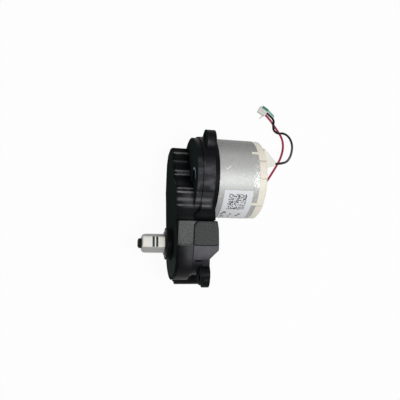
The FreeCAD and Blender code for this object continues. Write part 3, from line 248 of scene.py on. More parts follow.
class NodeTree:
    """A node tree in the making."""

    def __init__(self, tree):
        self.tree = tree
        tree.nodes.clear()

    def node(self, kind, settings=None, sockets=None):
        """One node: its settings first, then the values or links of its sockets."""
        node = self.tree.nodes.new(kind)
        for name, value in (settings or {}).items():
            setattr(node, name, value)
        for name, value in (sockets or {}).items():
            self.feed(node.inputs[name], value)
        return node

    def feed(self, socket, value):
        if isinstance(value, Pattern):
            self.tree.links.new(value.socket, socket)
        elif isinstance(value, bpy.types.NodeSocket):
            self.tree.links.new(value, socket)
        elif isinstance(value, tuple) and len(socket.default_value) == 4 and len(value) == 3:
            socket.default_value = (*value, 1.0)
        else:
            socket.default_value = value


class Finish(NodeTree):
    """A material in the making, with the patterns that feed its shader."""

    def __init__(self, name):
        self.material = bpy.data.materials.new(name)
        self.material.use_nodes = True
        super().__init__(self.material.node_tree)
        self.place = self.node("ShaderNodeTexCoord").outputs["Object"]
        axes = self.node("ShaderNodeSeparateXYZ", sockets={0: self.place})
        self.x, self.y, self.z = (Pattern(self, axes.outputs[i]) for i in range(3))

    def cloud(self, size, detail=2.0, stretch=(1.0, 1.0, 1.0)):
        """Soft patches of about the given size in metres, longer where stretch is over 1."""
        scale = tuple(1.0 / (size * longer) for longer in stretch)
        mapped = self.node("ShaderNodeMapping", sockets={"Vector": self.place, "Scale": scale})
        noise = self.node("ShaderNodeTexNoise", sockets={"Vector": mapped.outputs[0], "Scale": 1.0,
                                                         "Detail": detail})
        return Pattern(self, noise.outputs[0])

    def cells(self, size):
        """Grains of about the given size in metres: the distance to the nearest grain's middle."""
        mapped = self.node("ShaderNodeMapping", sockets={"Vector": self.place,
                                                         "Scale": (1.0 / size,) * 3})
        grains = self.node("ShaderNodeTexVoronoi", {"feature": "F1"},
                           {"Vector": mapped.outputs[0], "Scale": 1.0})
        return Pattern(self, grains.outputs["Distance"])

    def mix(self, share, low, high):
        """A colour between two, by a share from 0 to 1."""
        node = self.node("ShaderNodeMix", {"data_type": "RGBA"}, {0: share, 6: low, 7: high})
        return node.outputs[2]

    def soft_edge(self, radius):
        return self.node("ShaderNodeBevel", {"samples": 4}, {"Radius": radius}).outputs[0]

    def bump(self, height, depth, normal=None):
        """Relief of the given depth in metres where height goes from 0 to 1."""
        sockets = {"Height": height, "Distance": depth, "Strength": 1.0}
        if normal is not None:
            sockets["Normal"] = normal
        return self.node("ShaderNodeBump", sockets=sockets).outputs[0]

    def shader(self, **sockets):
        names = {name.replace("_", " "): value for name, value in sockets.items()}
        return self.node("ShaderNodeBsdfPrincipled", sockets=names).outputs[0]

    def done(self, shader):
        self.node("ShaderNodeOutputMaterial", sockets={"Surface": shader})
        return self.material


# Painted highlight lines along the shafts on the upper sides: the place across, half the width, the
# start and the end along the shafts in millimetres, and how light each one is
HIGHLIGHT_LINES = [(36.8, 0.3, 3.1, 9.0, 0.9), (33.3, 0.3, 3.1, 8.8, 0.35), (29.3, 0.3, 3.1, 9.2, 0.8),
           (28.5, 0.5, 4.4, 9.4, 0.25), (27.8, 0.25, 3.1, 9.2, 0.9), (22.2, 0.3, 3.0, 9.5, 0.6),
           (20.8, 0.3, 3.0, 9.6, 1.0), (18.0, 0.6, 3.0, 15.4, 0.5), (15.8, 0.3, 3.0, 15.4, 0.6)]
# The screwdriver tube's opening in the disc: its middle on Y and Z, and the squares of the radii of the
# ring round its mouth that gets a painted glint, in millimetres
TUBE_PLACE = (27.3, 8.0)
TUBE_LIP = (6.0, 10.5)


def lit_places(finish, upward):
    """The smooth upper sides that catch the light: the lobe, the neck and the collar.

    Each bound is in millimetres: along the shafts, across them from the output shaft, and up.
    """
    along, across, height = finish.x / MM, finish.y / MM, finish.z / MM
    under = upward.step(0.60, 0.95) * (1.0 - across.step(0.8, 1.05)) * height.step(6.0, 12.0)
    lobe = under * (0.05 + 0.50 * along.step(4.5, 8.5)) * across.step(-9.0, -3.0)
    lobe = lobe + under * along.step(9.2, 9.6) * across.step(-5.5, -1.5) * 0.5
    neck = across.band(14.8, 21.0, 0.4) * height.step(8.5, 9.5) * along.step(3.5, 8.0) * 0.34
    neck = neck * (1.0 - along.step(15.6, 16.4))
    collar = upward.step(0.86, 1.0) * height.step(12.5, 14.5) * across.step(20.5, 22.5)
    collar = collar * (1.0 - along.step(15.9, 16.3))
    spots = finish.cloud(4.5 * MM, detail=2.0, stretch=(1.0, 0.7, 1.0)).step(0.40, 0.70)
    return lobe.larger(neck.larger(collar * (0.22 + spots * 0.55)))


def painted_highlight_lines(finish, upward, fine):
    """The painted highlight lines on the upper sides, their edges and strength broken up by a fine
    pattern.
    """
    along = finish.x / MM
    wavy = finish.y / MM + (fine - 0.5) * 0.35
    streaks = 0.0
    for place, half, start, end, light in HIGHLIGHT_LINES:
        line = wavy.band(place - half, place + half, half * 0.8) * along.band(start, end, 0.6)
        streaks = line * light + streaks
    return (streaks * (0.35 + fine * 1.1) * upward.step(0.2, 0.5)).smaller(1.0)


def case_plastic(settings):
    """Near-black nylon: grained panels, painted sheen and highlight lines on upper sides, a matt front
    with painted sheen, and a painted glint.
    """
    finish = Finish("case_plastic")
    normal = finish.node("ShaderNodeNewGeometry").outputs["Normal"]
    facing = finish.node("ShaderNodeSeparateXYZ", sockets={0: normal})
    upward = Pattern(finish, facing.outputs[2])
    forward = (Pattern(finish, facing.outputs[0]) * -1.0).step(0.75, 0.98)
    along, across, height = finish.x / MM, finish.y / MM, finish.z / MM
    mottle = finish.cloud(3.5 * MM, detail=4.0)
    fine = finish.cloud(0.8 * MM, detail=4.0)
    panel = upward.step(0.93, 0.99) * across.band(0.9, 10.3, 0.1) * height.step(12.8, 13.2)
    base = finish.mix(mottle * 0.6, tuple(settings.plastic), scaled(settings.plastic, 1.9))
    # Painted sheen on the lobe, the neck and the collar.
    lit = lit_places(finish, upward) * (0.35 + mottle * 0.9)
    base = finish.mix(lit, base, tuple(settings.worn))
    # Painted highlight lines along the upper sides.
    base = finish.mix(painted_highlight_lines(finish, upward, fine), base, tuple(settings.highlight_streak))
    grain = finish.cloud(settings.grain, detail=3.0)
    speck = finish.cloud(0.45 * MM, detail=4.0).step(0.35, 0.75)
    # Painted sheen on the grained panels' upward faces, weaker on the box's panel than on the cover's.
    panel_sheen_share = 1.0 - along.step(9.0, 9.6) * 0.40
    base = finish.mix(panel * (0.55 + speck * 0.45) * panel_sheen_share, base, tuple(settings.panel))
    # Painted sheen on the front faces: a green-grey lighter than the black plastic, lighter still on the
    # lower lobe.
    below = 1.0 - across.step(-6.0, -3.5)
    face = finish.mix(below, tuple(settings.face), tuple(c * 1.9 + 0.006 for c in settings.face))
    base = finish.mix(forward, base, face)
    # Painted glint on the front face round the tube's mouth.
    from_y, from_z = across - TUBE_PLACE[0], height - TUBE_PLACE[1]
    lip = (from_y * from_y + from_z * from_z).band(*TUBE_LIP, 0.8)
    glint = lip * forward * across.step(25.6, 26.4) * height.step(6.5, 7.5)
    base = finish.mix(glint * (0.4 + mottle), base, tuple(settings.glint))
    relief = grain * (0.30 + panel * 0.9) + fine * 0.3
    rough = 0.30 + mottle * 0.20 + panel * 0.25
    bumped = finish.bump(relief, 0.03 * MM, finish.soft_edge(settings.edge))
    shiny = finish.shader(Base_Color=base, Roughness=rough, Normal=bumped, Specular_IOR_Level=0.05)
    dull = finish.shader(Base_Color=base, Roughness=0.8, Normal=bumped, Specular_IOR_Level=0.0)
    both = finish.node("ShaderNodeMixShader",
                       sockets={0: forward.larger(panel * 0.8), 1: shiny, 2: dull})
    return finish.done(both.outputs[0])


def gloss_black(settings):
    """Smooth black of the nose seal and the shaft's tip."""
    finish = Finish("gloss_black")
    haze = finish.cloud(2 * MM, detail=3.0)
    base = finish.mix(haze, tuple(settings.seal), tuple(settings.haze))
    rings = finish.cloud(0.25 * MM, stretch=(1.0, 8.0, 8.0))
    bumped = finish.bump(rings, 0.01 * MM, finish.soft_edge(settings.edge))
    return finish.done(finish.shader(Base_Color=base, Roughness=0.22 + haze * 0.15, Normal=bumped,
                                     Specular_IOR_Level=0.08))


# Two long scratches in the plating: the slant, the place on Y from the motor's axis where X is 0, and
# the start and the end on X, in millimetres
SCRATCHES = ((0.7, -11.5, 20.6, 22.4), (0.3, -13.0, 17.4, 19.2))


def zinc_plate(settings):
    """Zinc plating of the drawn can: dull spangle, draw lines along the can and bright scuffs, with
    painted shade darkening its upper side.
    """
    finish = Finish("zinc_plate")
    spangle = finish.cells(0.75 * MM)
    dust = finish.cloud(0.35 * MM, detail=4.0)
    drawn = finish.cloud(0.22 * MM, detail=2.0, stretch=(30.0, 1.0, 1.0))
    patches = finish.cloud(5 * MM, detail=4.0)
    rear = finish.x.step(CAN_HIGH.x - 9 * MM, CAN_HIGH.x - 0.5 * MM)
    scuffs = finish.cloud(0.5 * MM, detail=5.0, stretch=(2.2, 1.0, 1.0)).step(0.60, 0.69)
    scuffs = scuffs * (0.25 + 0.75 * rear) * patches.step(0.42, 0.60)
    shade = settings.zinc
    base = finish.mix(dust * 0.5 + spangle * 0.35, scaled(shade, 0.82), scaled(shade, 1.22))
    # Painted shade: the upper side of the can is darkened.
    upper = finish.y.step(MOTOR_Y + 7 * MM, MOTOR_Y + 14 * MM)
    base = finish.mix(upper * 0.65, base, scaled(shade, 0.40))
    pits = finish.cloud(0.8 * MM, detail=1.0).step(0.70, 0.76)
    base = finish.mix(pits * 0.5, base, scaled(shade, 0.35))
    rim = finish.x.step(CAN_HIGH.x - 3.2 * MM, CAN_HIGH.x - 0.4 * MM)
    flecks = finish.cloud(0.45 * MM, detail=3.0, stretch=(1.0, 1.6, 1.6)).step(0.52, 0.62) * rim
    flecks = flecks * finish.y.band(MOTOR_Y - 4 * MM, MOTOR_Y + 5 * MM, 1.5 * MM)
    scuffs = scuffs.larger(flecks)
    for slant, place, start, end in SCRATCHES:
        run = finish.x / MM
        off = (finish.y - MOTOR_Y) / MM - run * slant - place
        scuffs = scuffs.larger(off.band(-0.1, 0.1, 0.08) * run.band(start, end, 0.2))
    base = finish.mix(scuffs * 0.9, base, tuple(settings.scratch))
    rough = 0.46 + dust * 0.14 + patches * 0.08 - scuffs * 0.18
    bumped = finish.bump(spangle * 0.5 + dust * 0.6 + drawn * 0.35, 0.02 * MM,
                         finish.soft_edge(0.15 * MM))
    return finish.done(finish.shader(Base_Color=base, Metallic=0.85, Roughness=rough, Normal=bumped))


def moulded(name, shade, roughness, thin=0.0, marks=()):
    """Moulded plastic with flow marks and, if given, darker lines along X.

    Each line has its place on Y, half its width, both in millimetres, and how dark it is. Thin is
    the share of light that goes a little way into the plastic.
    """
    finish = Finish(name)
    flow = finish.cloud(4 * MM, detail=3.0)
    fine = finish.cloud(0.3 * MM, detail=3.0)
    base = finish.mix(flow * 0.7 + fine * 0.3, scaled(shade, 0.90), tuple(shade))
    for place, half, dark in marks:
        mark = (finish.y / MM).band(place - half, place + half, half * 0.5) * dark
        base = finish.mix(mark, base, scaled(shade, 0.35))
    bumped = finish.bump(fine, 0.012 * MM, finish.soft_edge(0.12 * MM))
    return finish.done(finish.shader(Base_Color=base, Roughness=roughness + fine * 0.12,
                                     Normal=bumped, Subsurface_Weight=thin,
                                     Subsurface_Scale=0.6 * MM))


def machined(name, shade, roughness, along=1.0, around=12.0):
    """Machined metal, its fine lines longer along X or round it as the two stretches say."""
    finish = Finish(name)
    lines = finish.cloud(0.09 * MM, detail=3.0, stretch=(along, around, around))
    smear = finish.cloud(1.6 * MM, detail=4.0)
    base = finish.mix(lines * 0.5 + smear * 0.5, scaled(shade, 0.72), scaled(shade, 1.15))
    bumped = finish.bump(lines, 0.006 * MM, finish.soft_edge(0.06 * MM))
    return finish.done(finish.shader(Base_Color=base, Metallic=1.0,
                                     Roughness=roughness + smear * 0.15, Normal=bumped))


# The drive's upper flat, painted near white as a painted reflection: its middle across and half its
# width, and its two dark bands of painted reflection by their start and end on X, all in millimetres
FLAT_MIDDLE = 0.25
FLAT_HALF = 2.0
FRONT_REFLECTION_BAND = (-4.88, -3.98)
REAR_REFLECTION_BAND = (-3.45, -2.6)


def ground_drive(settings):
    """The square drive: its milled upper flat painted near white as a painted reflection, with two dark
    bands of painted reflection, and greyer turned corners.
    """
    finish = Finish("ground_drive")
    turn = math.radians(DRIVE_TURN)
    over = (finish.y * math.cos(turn) + finish.z * math.sin(turn)) / MM
    up = (finish.z * math.cos(turn) - finish.y * math.sin(turn)) / MM
    corner = (over - FLAT_MIDDLE).absolute().step(FLAT_HALF, FLAT_HALF + 0.1)
    corner = corner.larger(1.0 - up.step(0.0, 1.0))
    along = finish.x / MM
    bevel = 1.0 - along.step(-8.65, -8.5)
    lines = finish.cloud(0.12 * MM, detail=3.0, stretch=(1.0, 9.0, 9.0))
    smear = finish.cloud(0.8 * MM, detail=4.0)
    # Painted reflection: the upper flat near white and not metallic, the rest greyer steel.
    flat = finish.mix(smear * 0.6 + lines * 0.4, tuple(settings.smear), tuple(settings.flat))
    base = finish.mix(corner.larger(bevel), flat, scaled(settings.steel, 0.55))
    on_flat = (1.0 - corner) * (1.0 - bevel)
    # The two dark bands of painted reflection across the flat.
    base = finish.mix(along.band(*FRONT_REFLECTION_BAND, 0.08) * on_flat, base, tuple(settings.painted_front_reflection))
    base = finish.mix(along.band(*REAR_REFLECTION_BAND, 0.08) * on_flat, base, tuple(settings.painted_rear_reflection))
    bumped = finish.bump(lines, 0.006 * MM, finish.soft_edge(0.12 * MM))
    return finish.done(finish.shader(Base_Color=base, Metallic=corner * 0.9,
                                     Roughness=0.36 + smear * 0.15, Normal=bumped,
                                     Specular_IOR_Level=0.25))


# The label's made-up pattern in millimetres: the bounds of its field along the can and round it, the
# size of a square, and the dashes beside the field by their place round the can, start and end, with
# their width; and the angle round the can in degrees that the label starts at
FIELD_ALONG = (2.0, 9.1)
FIELD_ROUND = (1.5, 9.0)
SQUARE = 0.36
DASHES = ((10.4, 1.2, 2.5), (11.6, 0.6, 1.5), (11.7, 4.2, 4.9), (11.5, 7.6, 8.6), (12.8, 6.9, 8.0),
          (13.9, 0.9, 2.3), (13.9, 4.0, 4.7))
DASH_WIDTH = 1.3
LABEL_START = 107.5


def label_paper(settings):
    """White label with a made-up field of random squares and a few grey dashes."""
    finish = Finish("label_paper")
    angle = (finish.z - MOTOR_Z).turn(finish.y - MOTOR_Y)
    around = (angle - math.radians(LABEL_START)) * (CAN_RADIUS / MM)
    along = (finish.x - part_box("motor_label")[0].x) / MM
    field = along.band(*FIELD_ALONG, 0.03) * around.band(*FIELD_ROUND, 0.03)
    square = finish.node("ShaderNodeCombineXYZ", sockets={
        0: ((along - FIELD_ALONG[0]) / SQUARE).whole(),
        1: ((around - FIELD_ROUND[0]) / SQUARE).whole(), 2: 0.5})
    chance = finish.node("ShaderNodeTexWhiteNoise", sockets={"Vector": square.outputs[0]})
    ink = field * Pattern(finish, chance.outputs["Value"]).step(0.49, 0.51)
    for place, start, end in DASHES:
        ink = ink + around.band(place, place + DASH_WIDTH, 0.2) * along.band(start, end, 0.2) * 0.85
    fibre = finish.cloud(0.25 * MM, detail=3.0)
    base = finish.mix(fibre * 0.4, tuple(settings.paper), scaled(settings.paper, 0.93))
    base = finish.mix(ink * (0.85 + fibre * 0.15), base, tuple(settings.ink))
    bumped = finish.bump(fibre, 0.006 * MM)
    return finish.done(finish.shader(Base_Color=base, Roughness=0.5 + fibre * 0.1, Normal=bumped))


def insulation(name, shade):
    """Glossy soft insulation of a lead."""
    finish = Finish(name)
    haze = finish.cloud(1.4 * MM, detail=3.0)
    base = finish.mix(haze, scaled(shade, 0.75), scaled(shade, 1.25))
    bumped = finish.bump(finish.cloud(0.3 * MM), 0.01 * MM)
    return finish.done(finish.shader(Base_Color=base, Roughness=0.32 + haze * 0.15, Normal=bumped,
                                     Specular_IOR_Level=0.15))


def tape_film(name, shade, clear):
    """Thin plastic tape, folded or loose, that lets some light through."""
    finish = Finish(name)
    crease = finish.cloud(0.9 * MM, detail=3.0, stretch=(1.0, 1.0, 2.5))
    base = finish.mix(crease, scaled(shade, 0.6), scaled(shade, 1.5))
    bumped = finish.bump(crease, 0.08 * MM)
    return finish.done(finish.shader(Base_Color=base, Roughness=0.3, Normal=bumped,
                                     Alpha=1.0 - clear * (0.5 + crease * 0.5)))


def sintered(name, shade):
    """Pressed and fired material, matt with open pores."""
    finish = Finish(name)
    pores = finish.cells(0.18 * MM)
    cloud = finish.cloud(1.5 * MM, detail=3.0)
    base = finish.mix(pores * 0.6 + cloud * 0.4, scaled(shade, 0.6), tuple(shade))
    bumped = finish.bump(pores, 0.02 * MM, finish.soft_edge(0.08 * MM))
    return finish.done(finish.shader(Base_Color=base, Roughness=0.62 + cloud * 0.15, Normal=bumped))


def wound_copper(settings):
    """Enamelled copper, its turns shown as fine ridges along X."""
    finish = Finish("coil_copper")
    turns = finish.cloud(0.16 * MM, detail=1.0, stretch=(14.0, 1.0, 1.0))
    base = finish.mix(turns, tuple(settings.groove), tuple(settings.enamel))
    bumped = finish.bump(turns, 0.05 * MM)
    return finish.done(finish.shader(Base_Color=base, Metallic=0.8, Roughness=0.3 + turns * 0.1,
                                     Normal=bumped))


def dress(material, *nodes):
    """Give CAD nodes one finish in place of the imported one."""
    for name in nodes:
        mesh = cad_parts[name].data
        mesh.materials.clear()
        mesh.materials.append(material)


def keep(name, mesh, material, body, slot_name, *replaced):
    """A new piece at the origin, on its body, with its finish and the nodes that it stands for."""
    piece = bpy.data.objects.new(name, mesh)
    bpy.context.scene.collection.objects.link(piece)
    piece.data.materials.clear()
    piece.data.materials.append(material)
    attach(piece, body)
    if replaced:
        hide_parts(*replaced)
    return piece


# The largest angle in degrees between two faces that are shaded as one
SMOOTH_ANGLE = 38


def form_mesh(name, form):
    """The finished mesh of a form, shaded smooth but for its edges."""
    mesh = bpy.data.meshes.new(name)
    form.to_mesh(mesh)
    form.free()
    mesh.shade_smooth()
    mesh.set_sharp_from_angle(angle=math.radians(SMOOTH_ANGLE))
    return mesh


def drive_form():
    """The drive's square end: a short lead-in, flats and turned corners."""
    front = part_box("output_shaft")[0].x - 0.02 * MM
    rings = [(front + behind, reach) for behind, reach in DRIVE_LEAD_IN]
    rings.append((DRIVE_REAR, DRIVE_CORNER))
    shape = bmesh.new()
    loops = []
    for x, reach in rings:
        loop = []
        for i in range(DRIVE_SIDES):
            angle = 2 * math.pi * i / DRIVE_SIDES
            nearest = math.cos((angle + math.pi / 4) % (math.pi / 2) - math.pi / 4)
            radius = min(reach, DRIVE_FLATS / 2 / nearest)
            angle = angle + math.radians(DRIVE_TURN)
            loop.append(shape.verts.new((x, radius * math.cos(angle), radius * math.sin(angle))))
        loops.append(loop)
    close_rings(shape, loops)
    return form_mesh("drive_form", shape)


def close_rings(shape, rings):
    """Join rings of points into a closed solid whose faces point outwards."""
    for before, after in zip(rings, rings[1:]):
        for i in range(len(before)):
            j = (i + 1) % len(before)
            shape.faces.new((before[i], before[j], after[j], after[i]))
    shape.faces.new(rings[0])
    shape.faces.new(rings[-1])
    bmesh.ops.recalc_face_normals(shape, faces=shape.faces)


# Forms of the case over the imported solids, as sections across Y: the place on Y, the front and the
# rear on X, and the lower and the upper side on Z, in millimetres
BLOCK_SECTIONS = [(10.3, 3.1, 11.6, -17.5, 11.3), (11.9, 3.05, 11.6, -17.6, 10.9),
                  (15.8, 2.9, 11.6, -17.6, 10.4), (18.0, 2.78, 11.6, -17.6, 10.2),
                  (20.0, 2.65, 11.6, -17.6, 10.1), (22.0, 2.65, 9.7, -17.6, 9.75),
                  (23.6, 2.65, 9.7, -17.6, 8.7), (26.2, 2.65, 9.7, -17.6, 1.9),
                  (27.85, 2.65, 9.7, -17.6, 1.6), (29.3, 2.65, 9.7, -17.6, 1.0),
                  (32.3, 2.65, 9.7, -17.3, 0.0), (33.3, 2.65, 9.7, -17.0, -1.6),
                  (36.8, 2.65, 9.7, -14.6, -2.9), (39.0, 2.65, 9.7, -9.2, -4.4)]
BLOCK_END_SECTIONS = [(38.2, 2.7, 9.7, -10.5, -4.3), (39.0, 2.7, 9.7, -9.2, -4.4)]
PANEL_SECTIONS = [(1.2, 3.06, 9.18, 12.0, 14.45), (8.6, 3.06, 9.18, 12.0, 14.45),
                  (10.2, 3.06, 10.4, 12.0, 14.45)]
NECK_SECTIONS = [(10.3, 9.7, 18.15, 9.5, 11.7), (12.4, 9.7, 17.9, 9.5, 12.1),
                 (14.3, 11.9, 17.6, 9.5, 12.6), (16.0, 11.9, 17.4, 10.5, 13.3),
                 (18.4, 11.9, 17.4, 11.0, 13.8), (20.7, 11.9, 17.4, 11.5, 14.5),
                 (22.0, 11.9, 17.4, 12.0, 14.6)]
ROOF_SECTIONS = [(0.9, 9.3, 19.15, 12.0, 14.4), (2.2, 9.3, 19.1, 12.0, 14.4),
                 (7.2, 9.3, 18.8, 12.0, 14.4), (8.5, 9.3, 18.55, 12.0, 14.4),
                 (10.2, 10.55, 18.2, 12.0, 14.4)]
BOX_REAR_SECTIONS = [(-4.8, 14.6, 15.5, -12.9, 13.0), (-0.85, 18.3, 19.2, -13.0, 14.2),
                     (2.2, 18.2, 19.1, -13.2, 14.3), (7.2, 17.9, 18.8, -12.0, 14.3),
                     (10.2, 17.3, 18.2, -9.0, 14.3)]
EAR_WEB_SECTIONS = [(-15.9, 13.95, 16.85, 7.6, 9.4), (-15.0, 13.95, 16.85, 6.2, 10.6),
                    (-13.5, 13.95, 16.85, 4.3, 11.5), (-12.0, 13.95, 16.85, 2.4, 11.4),
                    (-10.6, 13.95, 16.85, 0.0, 9.6), (-8.8, 13.95, 16.85, -1.8, 6.2),
                    (-7.1, 13.95, 16.85, -3.0, 3.6), (-4.6, 13.95, 16.9, -3.6, 3.0)]
# Round forms along X: the middle on Y and Z, the radius, and the front and the rear on X
LOBE_RADIUS = 14.3
LOBE = ((0.0, 0.0), LOBE_RADIUS, 3.08, 9.18)
BOX_UNDERSIDE = ((0.0, 0.0), 12.4, 9.2, 14.0)
COVER_LUG = ((-14.5, -6.0), 2.9, 5.8, 9.18)
HOUSING_LUG = ((-14.5, -6.0), 2.9, 9.3, 16.8)
# The roof over the lobe, which follows its round: the place on Y and the rear on X
LOBE_ROOF = [(-4.8, 15.5), (-0.85, 19.2)]
# How thick a skin is, how thin a round form's ends may get, how far a form's edges are rounded, and
# the least angle in degrees between two faces that makes a rounded edge
SKIN = 1.1
LEAST_HALF = 0.02
EDGE = 0.28
ROUNDED_ANGLE = 22


def disc_sections(centre, radius, front, rear, count, low=-1.0, high=1.0):
    """Sections of a round bar along X, between two shares of its radius on Y."""
    sections = []
    first, last = math.acos(-low), math.acos(-high)
    for i in range(count + 1):
        angle = first + (last - first) * i / count
        half = max(radius * math.sin(angle), LEAST_HALF)
        y = centre[0] - radius * math.cos(angle)
        sections.append((y, front, rear, centre[1] - half, centre[1] + half))
    return sections


def loft(form, sections, edge=EDGE):
    """Add a closed solid through the sections, its sharp edges rounded, to a form in the making."""
    shape = bmesh.new()
    rings = []
    for y, front, rear, low, high in sections:
        corners = ((front, low), (rear, low), (rear, high), (front, high))
        rings.append([shape.verts.new((x * MM, y * MM, z * MM)) for x, z in corners])
    close_rings(shape, rings)
    sharp = [e for e in shape.edges if e.calc_face_angle(0.0) > math.radians(ROUNDED_ANGLE)]
    bmesh.ops.bevel(shape, geom=sharp, offset=edge * MM, segments=2, profile=0.5, affect="EDGES",
                    clamp_overlap=True)
    mesh = bpy.data.meshes.new("loft")
    shape.to_mesh(mesh)
    shape.free()
    form.from_mesh(mesh)
    bpy.data.meshes.remove(mesh)


def skin(form, sections, edge=EDGE, front=True):
    """The sections' upper side and, if wanted, their front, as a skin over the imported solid."""
    loft(form, [(y, a, b, high - SKIN, high) for y, a, b, low, high in sections], edge)
    if front:
        loft(form, [(y, a, a + SKIN, low, high) for y, a, b, low, high in sections], edge)


# Small ribs on the cover: the middle of each one in millimetres, and their radius and half length
RIBS = [(6.1, 36.8, -2.9), (6.1, 33.3, -1.6), (6.2, 29.3, 1.0), (6.2, 27.85, 1.6), (7.0, 22.2, 9.65),
        (7.0, 20.8, 9.95), (7.2, 15.8, 10.4)]
RIB_RADIUS = 0.22 * MM
RIB_HALF = 3.0 * MM


def rib_nodes():
    """A node group that lays one rounded rib along X at each point of a mesh."""
    group = bpy.data.node_groups.new("ribs", "GeometryNodeTree")
    sockets = {}
    for name, kind in (("Points", "NodeSocketGeometry"), ("Radius", "NodeSocketFloat"),
                       ("Length", "NodeSocketFloat"), ("Finish", "NodeSocketMaterial")):
        socket = group.interface.new_socket(name=name, in_out="INPUT", socket_type=kind)
        sockets[name] = socket.identifier
    group.interface.new_socket(name="Ribs", in_out="OUTPUT", socket_type="NodeSocketGeometry")
    nodes = NodeTree(group)
    given = nodes.node("NodeGroupInput").outputs
    ball = nodes.node("GeometryNodeMeshUVSphere", sockets={"Segments": 16, "Rings": 12, "Radius": 1.0})
    size = nodes.node("ShaderNodeCombineXYZ", sockets={"X": given["Length"], "Y": given["Radius"],
                                                       "Z": given["Radius"]})
    rib = nodes.node("GeometryNodeTransform", sockets={"Geometry": ball.outputs["Mesh"],
                                                       "Scale": size.outputs[0]})
    placed = nodes.node("GeometryNodeInstanceOnPoints", sockets={"Points": given["Points"],
                                                                 "Instance": rib.outputs[0]})
    real = nodes.node("GeometryNodeRealizeInstances", sockets={0: placed.outputs[0]})
    finished = nodes.node("GeometryNodeSetMaterial", sockets={"Geometry": real.outputs[0],
                                                              "Material": given["Finish"]})
    nodes.node("NodeGroupOutput", sockets={0: finished.outputs[0]})
    return group, sockets


def rib_mesh(material):
    """The ribs as one mesh, made by the node group from the points of RIBS."""
    points = bpy.data.meshes.new("rib_points")
    points.from_pydata([tuple(value * MM for value in place) for place in RIBS], [], [])
    holder = bpy.data.objects.new("rib_points", points)
    bpy.context.scene.collection.objects.link(holder)
    group, sockets = rib_nodes()
    modifier = holder.modifiers.new("ribs", "NODES")
    modifier.node_group = group
    modifier[sockets["Radius"]] = RIB_RADIUS
    modifier[sockets["Length"]] = RIB_HALF
    modifier[sockets["Finish"]] = material
    graph = bpy.context.evaluated_depsgraph_get()
    mesh = bpy.data.meshes.new_from_object(holder.evaluated_get(graph))
    holder.modifiers.clear()
    bpy.data.objects.remove(holder)
    bpy.data.meshes.remove(points)
    mesh.shade_smooth()
    return mesh


def cover_form():
    """The cover's block, lobe, panel and lug."""
    form = bmesh.new()
    skin(form, BLOCK_SECTIONS)
    loft(form, BLOCK_END_SECTIONS)
    skin(form, disc_sections(*LOBE, 36), edge=0.3)
    loft(form, disc_sections(*LOBE, 10, high=-0.93), edge=0.2)
    skin(form, PANEL_SECTIONS, front=False)
    loft(form, disc_sections(*COVER_LUG, 16), edge=0.3)
    return form_mesh("cover_form", form)


def housing_form():
    """The housing's box, neck, lower ear and lug."""
    form = bmesh.new()
    loft(form, NECK_SECTIONS)
    first = ROOF_SECTIONS[0]
    roof = [(y, first[1], rear, first[3], math.sqrt(LOBE_RADIUS ** 2 - y ** 2)) for y, rear in LOBE_ROOF]
    skin(form, [*roof, (*first[:4], LOBE_RADIUS)], front=False)
    skin(form, ROOF_SECTIONS, front=False)
    loft(form, BOX_REAR_SECTIONS)
    loft(form, disc_sections(*BOX_UNDERSIDE, 12, high=-0.45), edge=0.2)
    loft(form, EAR_WEB_SECTIONS)
    loft(form, disc_sections(*HOUSING_LUG, 16), edge=0.3)
    return form_mesh("housing_form", form)


# The leads' routes, as the points in millimetres that each one turns at, and their real lengths
RED_ROUTE = [(39.4, 19.5, -8.0), (42.6, 22.3, -8.3), (46.4, 27.6, -9.0), (50.3, 33.0, -10.6),
             (54.2, 38.2, -13.4), (56.7, 43.8, -16.6), (55.9, 48.4, -17.05), (52.2, 53.0, -17.1),
             (49.6, 56.2, -17.0), (47.15, 58.15, -16.6)]
BLACK_ROUTE = [(42.9, 33.6, 8.0), (46.6, 34.1, 6.7), (51.0, 35.6, 1.8), (55.6, 39.2, -5.2),
               (59.4, 44.4, -12.6), (59.3, 48.7, -16.3), (56.0, 50.3, -15.9), (53.6, 49.7, -15.9),
               (51.6, 51.1, -16.8), (50.9, 53.3, -15.95), (51.3, 55.5, -15.9), (50.3, 57.4, -16.9),
               (47.75, 59.1, -16.6)]


def lead(name, route, diameter, material, slot_name, node):
    """A lead as one smooth curve through its route, round in section."""
    curve = bpy.data.curves.new(name, "CURVE")
    curve.dimensions = "3D"
    curve.bevel_depth = diameter / 2
    curve.bevel_resolution = 4
    curve.resolution_u = 12
    curve.use_fill_caps = True
    spline = curve.splines.new("NURBS")
    spline.points.add(len(route) - 1)
    for point, place in zip(spline.points, route):
        point.co = (*(value * MM for value in place), 1.0)
    spline.order_u = 3
    spline.use_endpoint_u = True
    return keep(name, curve, material, "case", slot_name, node)


class BrushDriveOperator:
    """What the operators share."""
    bl_options = {"REGISTER", "UNDO"}

    def settings(self):
        return bpy.context.scene.brush_drive


class BRUSHDRIVE_OT_case(BrushDriveOperator, bpy.types.Operator):
    """Dress both halves of the gear case, the nose seal and the tip"""
    bl_idname = "brush_drive.case"
    bl_label = "Gear case"

    def execute(self, context):
        settings = self.settings().case
        plastic = case_plastic(settings)
        dress(plastic, "gear_cover", "motor_housing")
        keep("cover_form", cover_form(), plastic, "case", "case_plastic")
        keep("housing_form", housing_form(), plastic, "case", "case_plastic")
        keep("cover_ribs", rib_mesh(plastic), plastic, "case", "case_plastic")
        dress(gloss_black(settings), "shaft_seal", "shaft_tip")
        return {"FINISHED"}


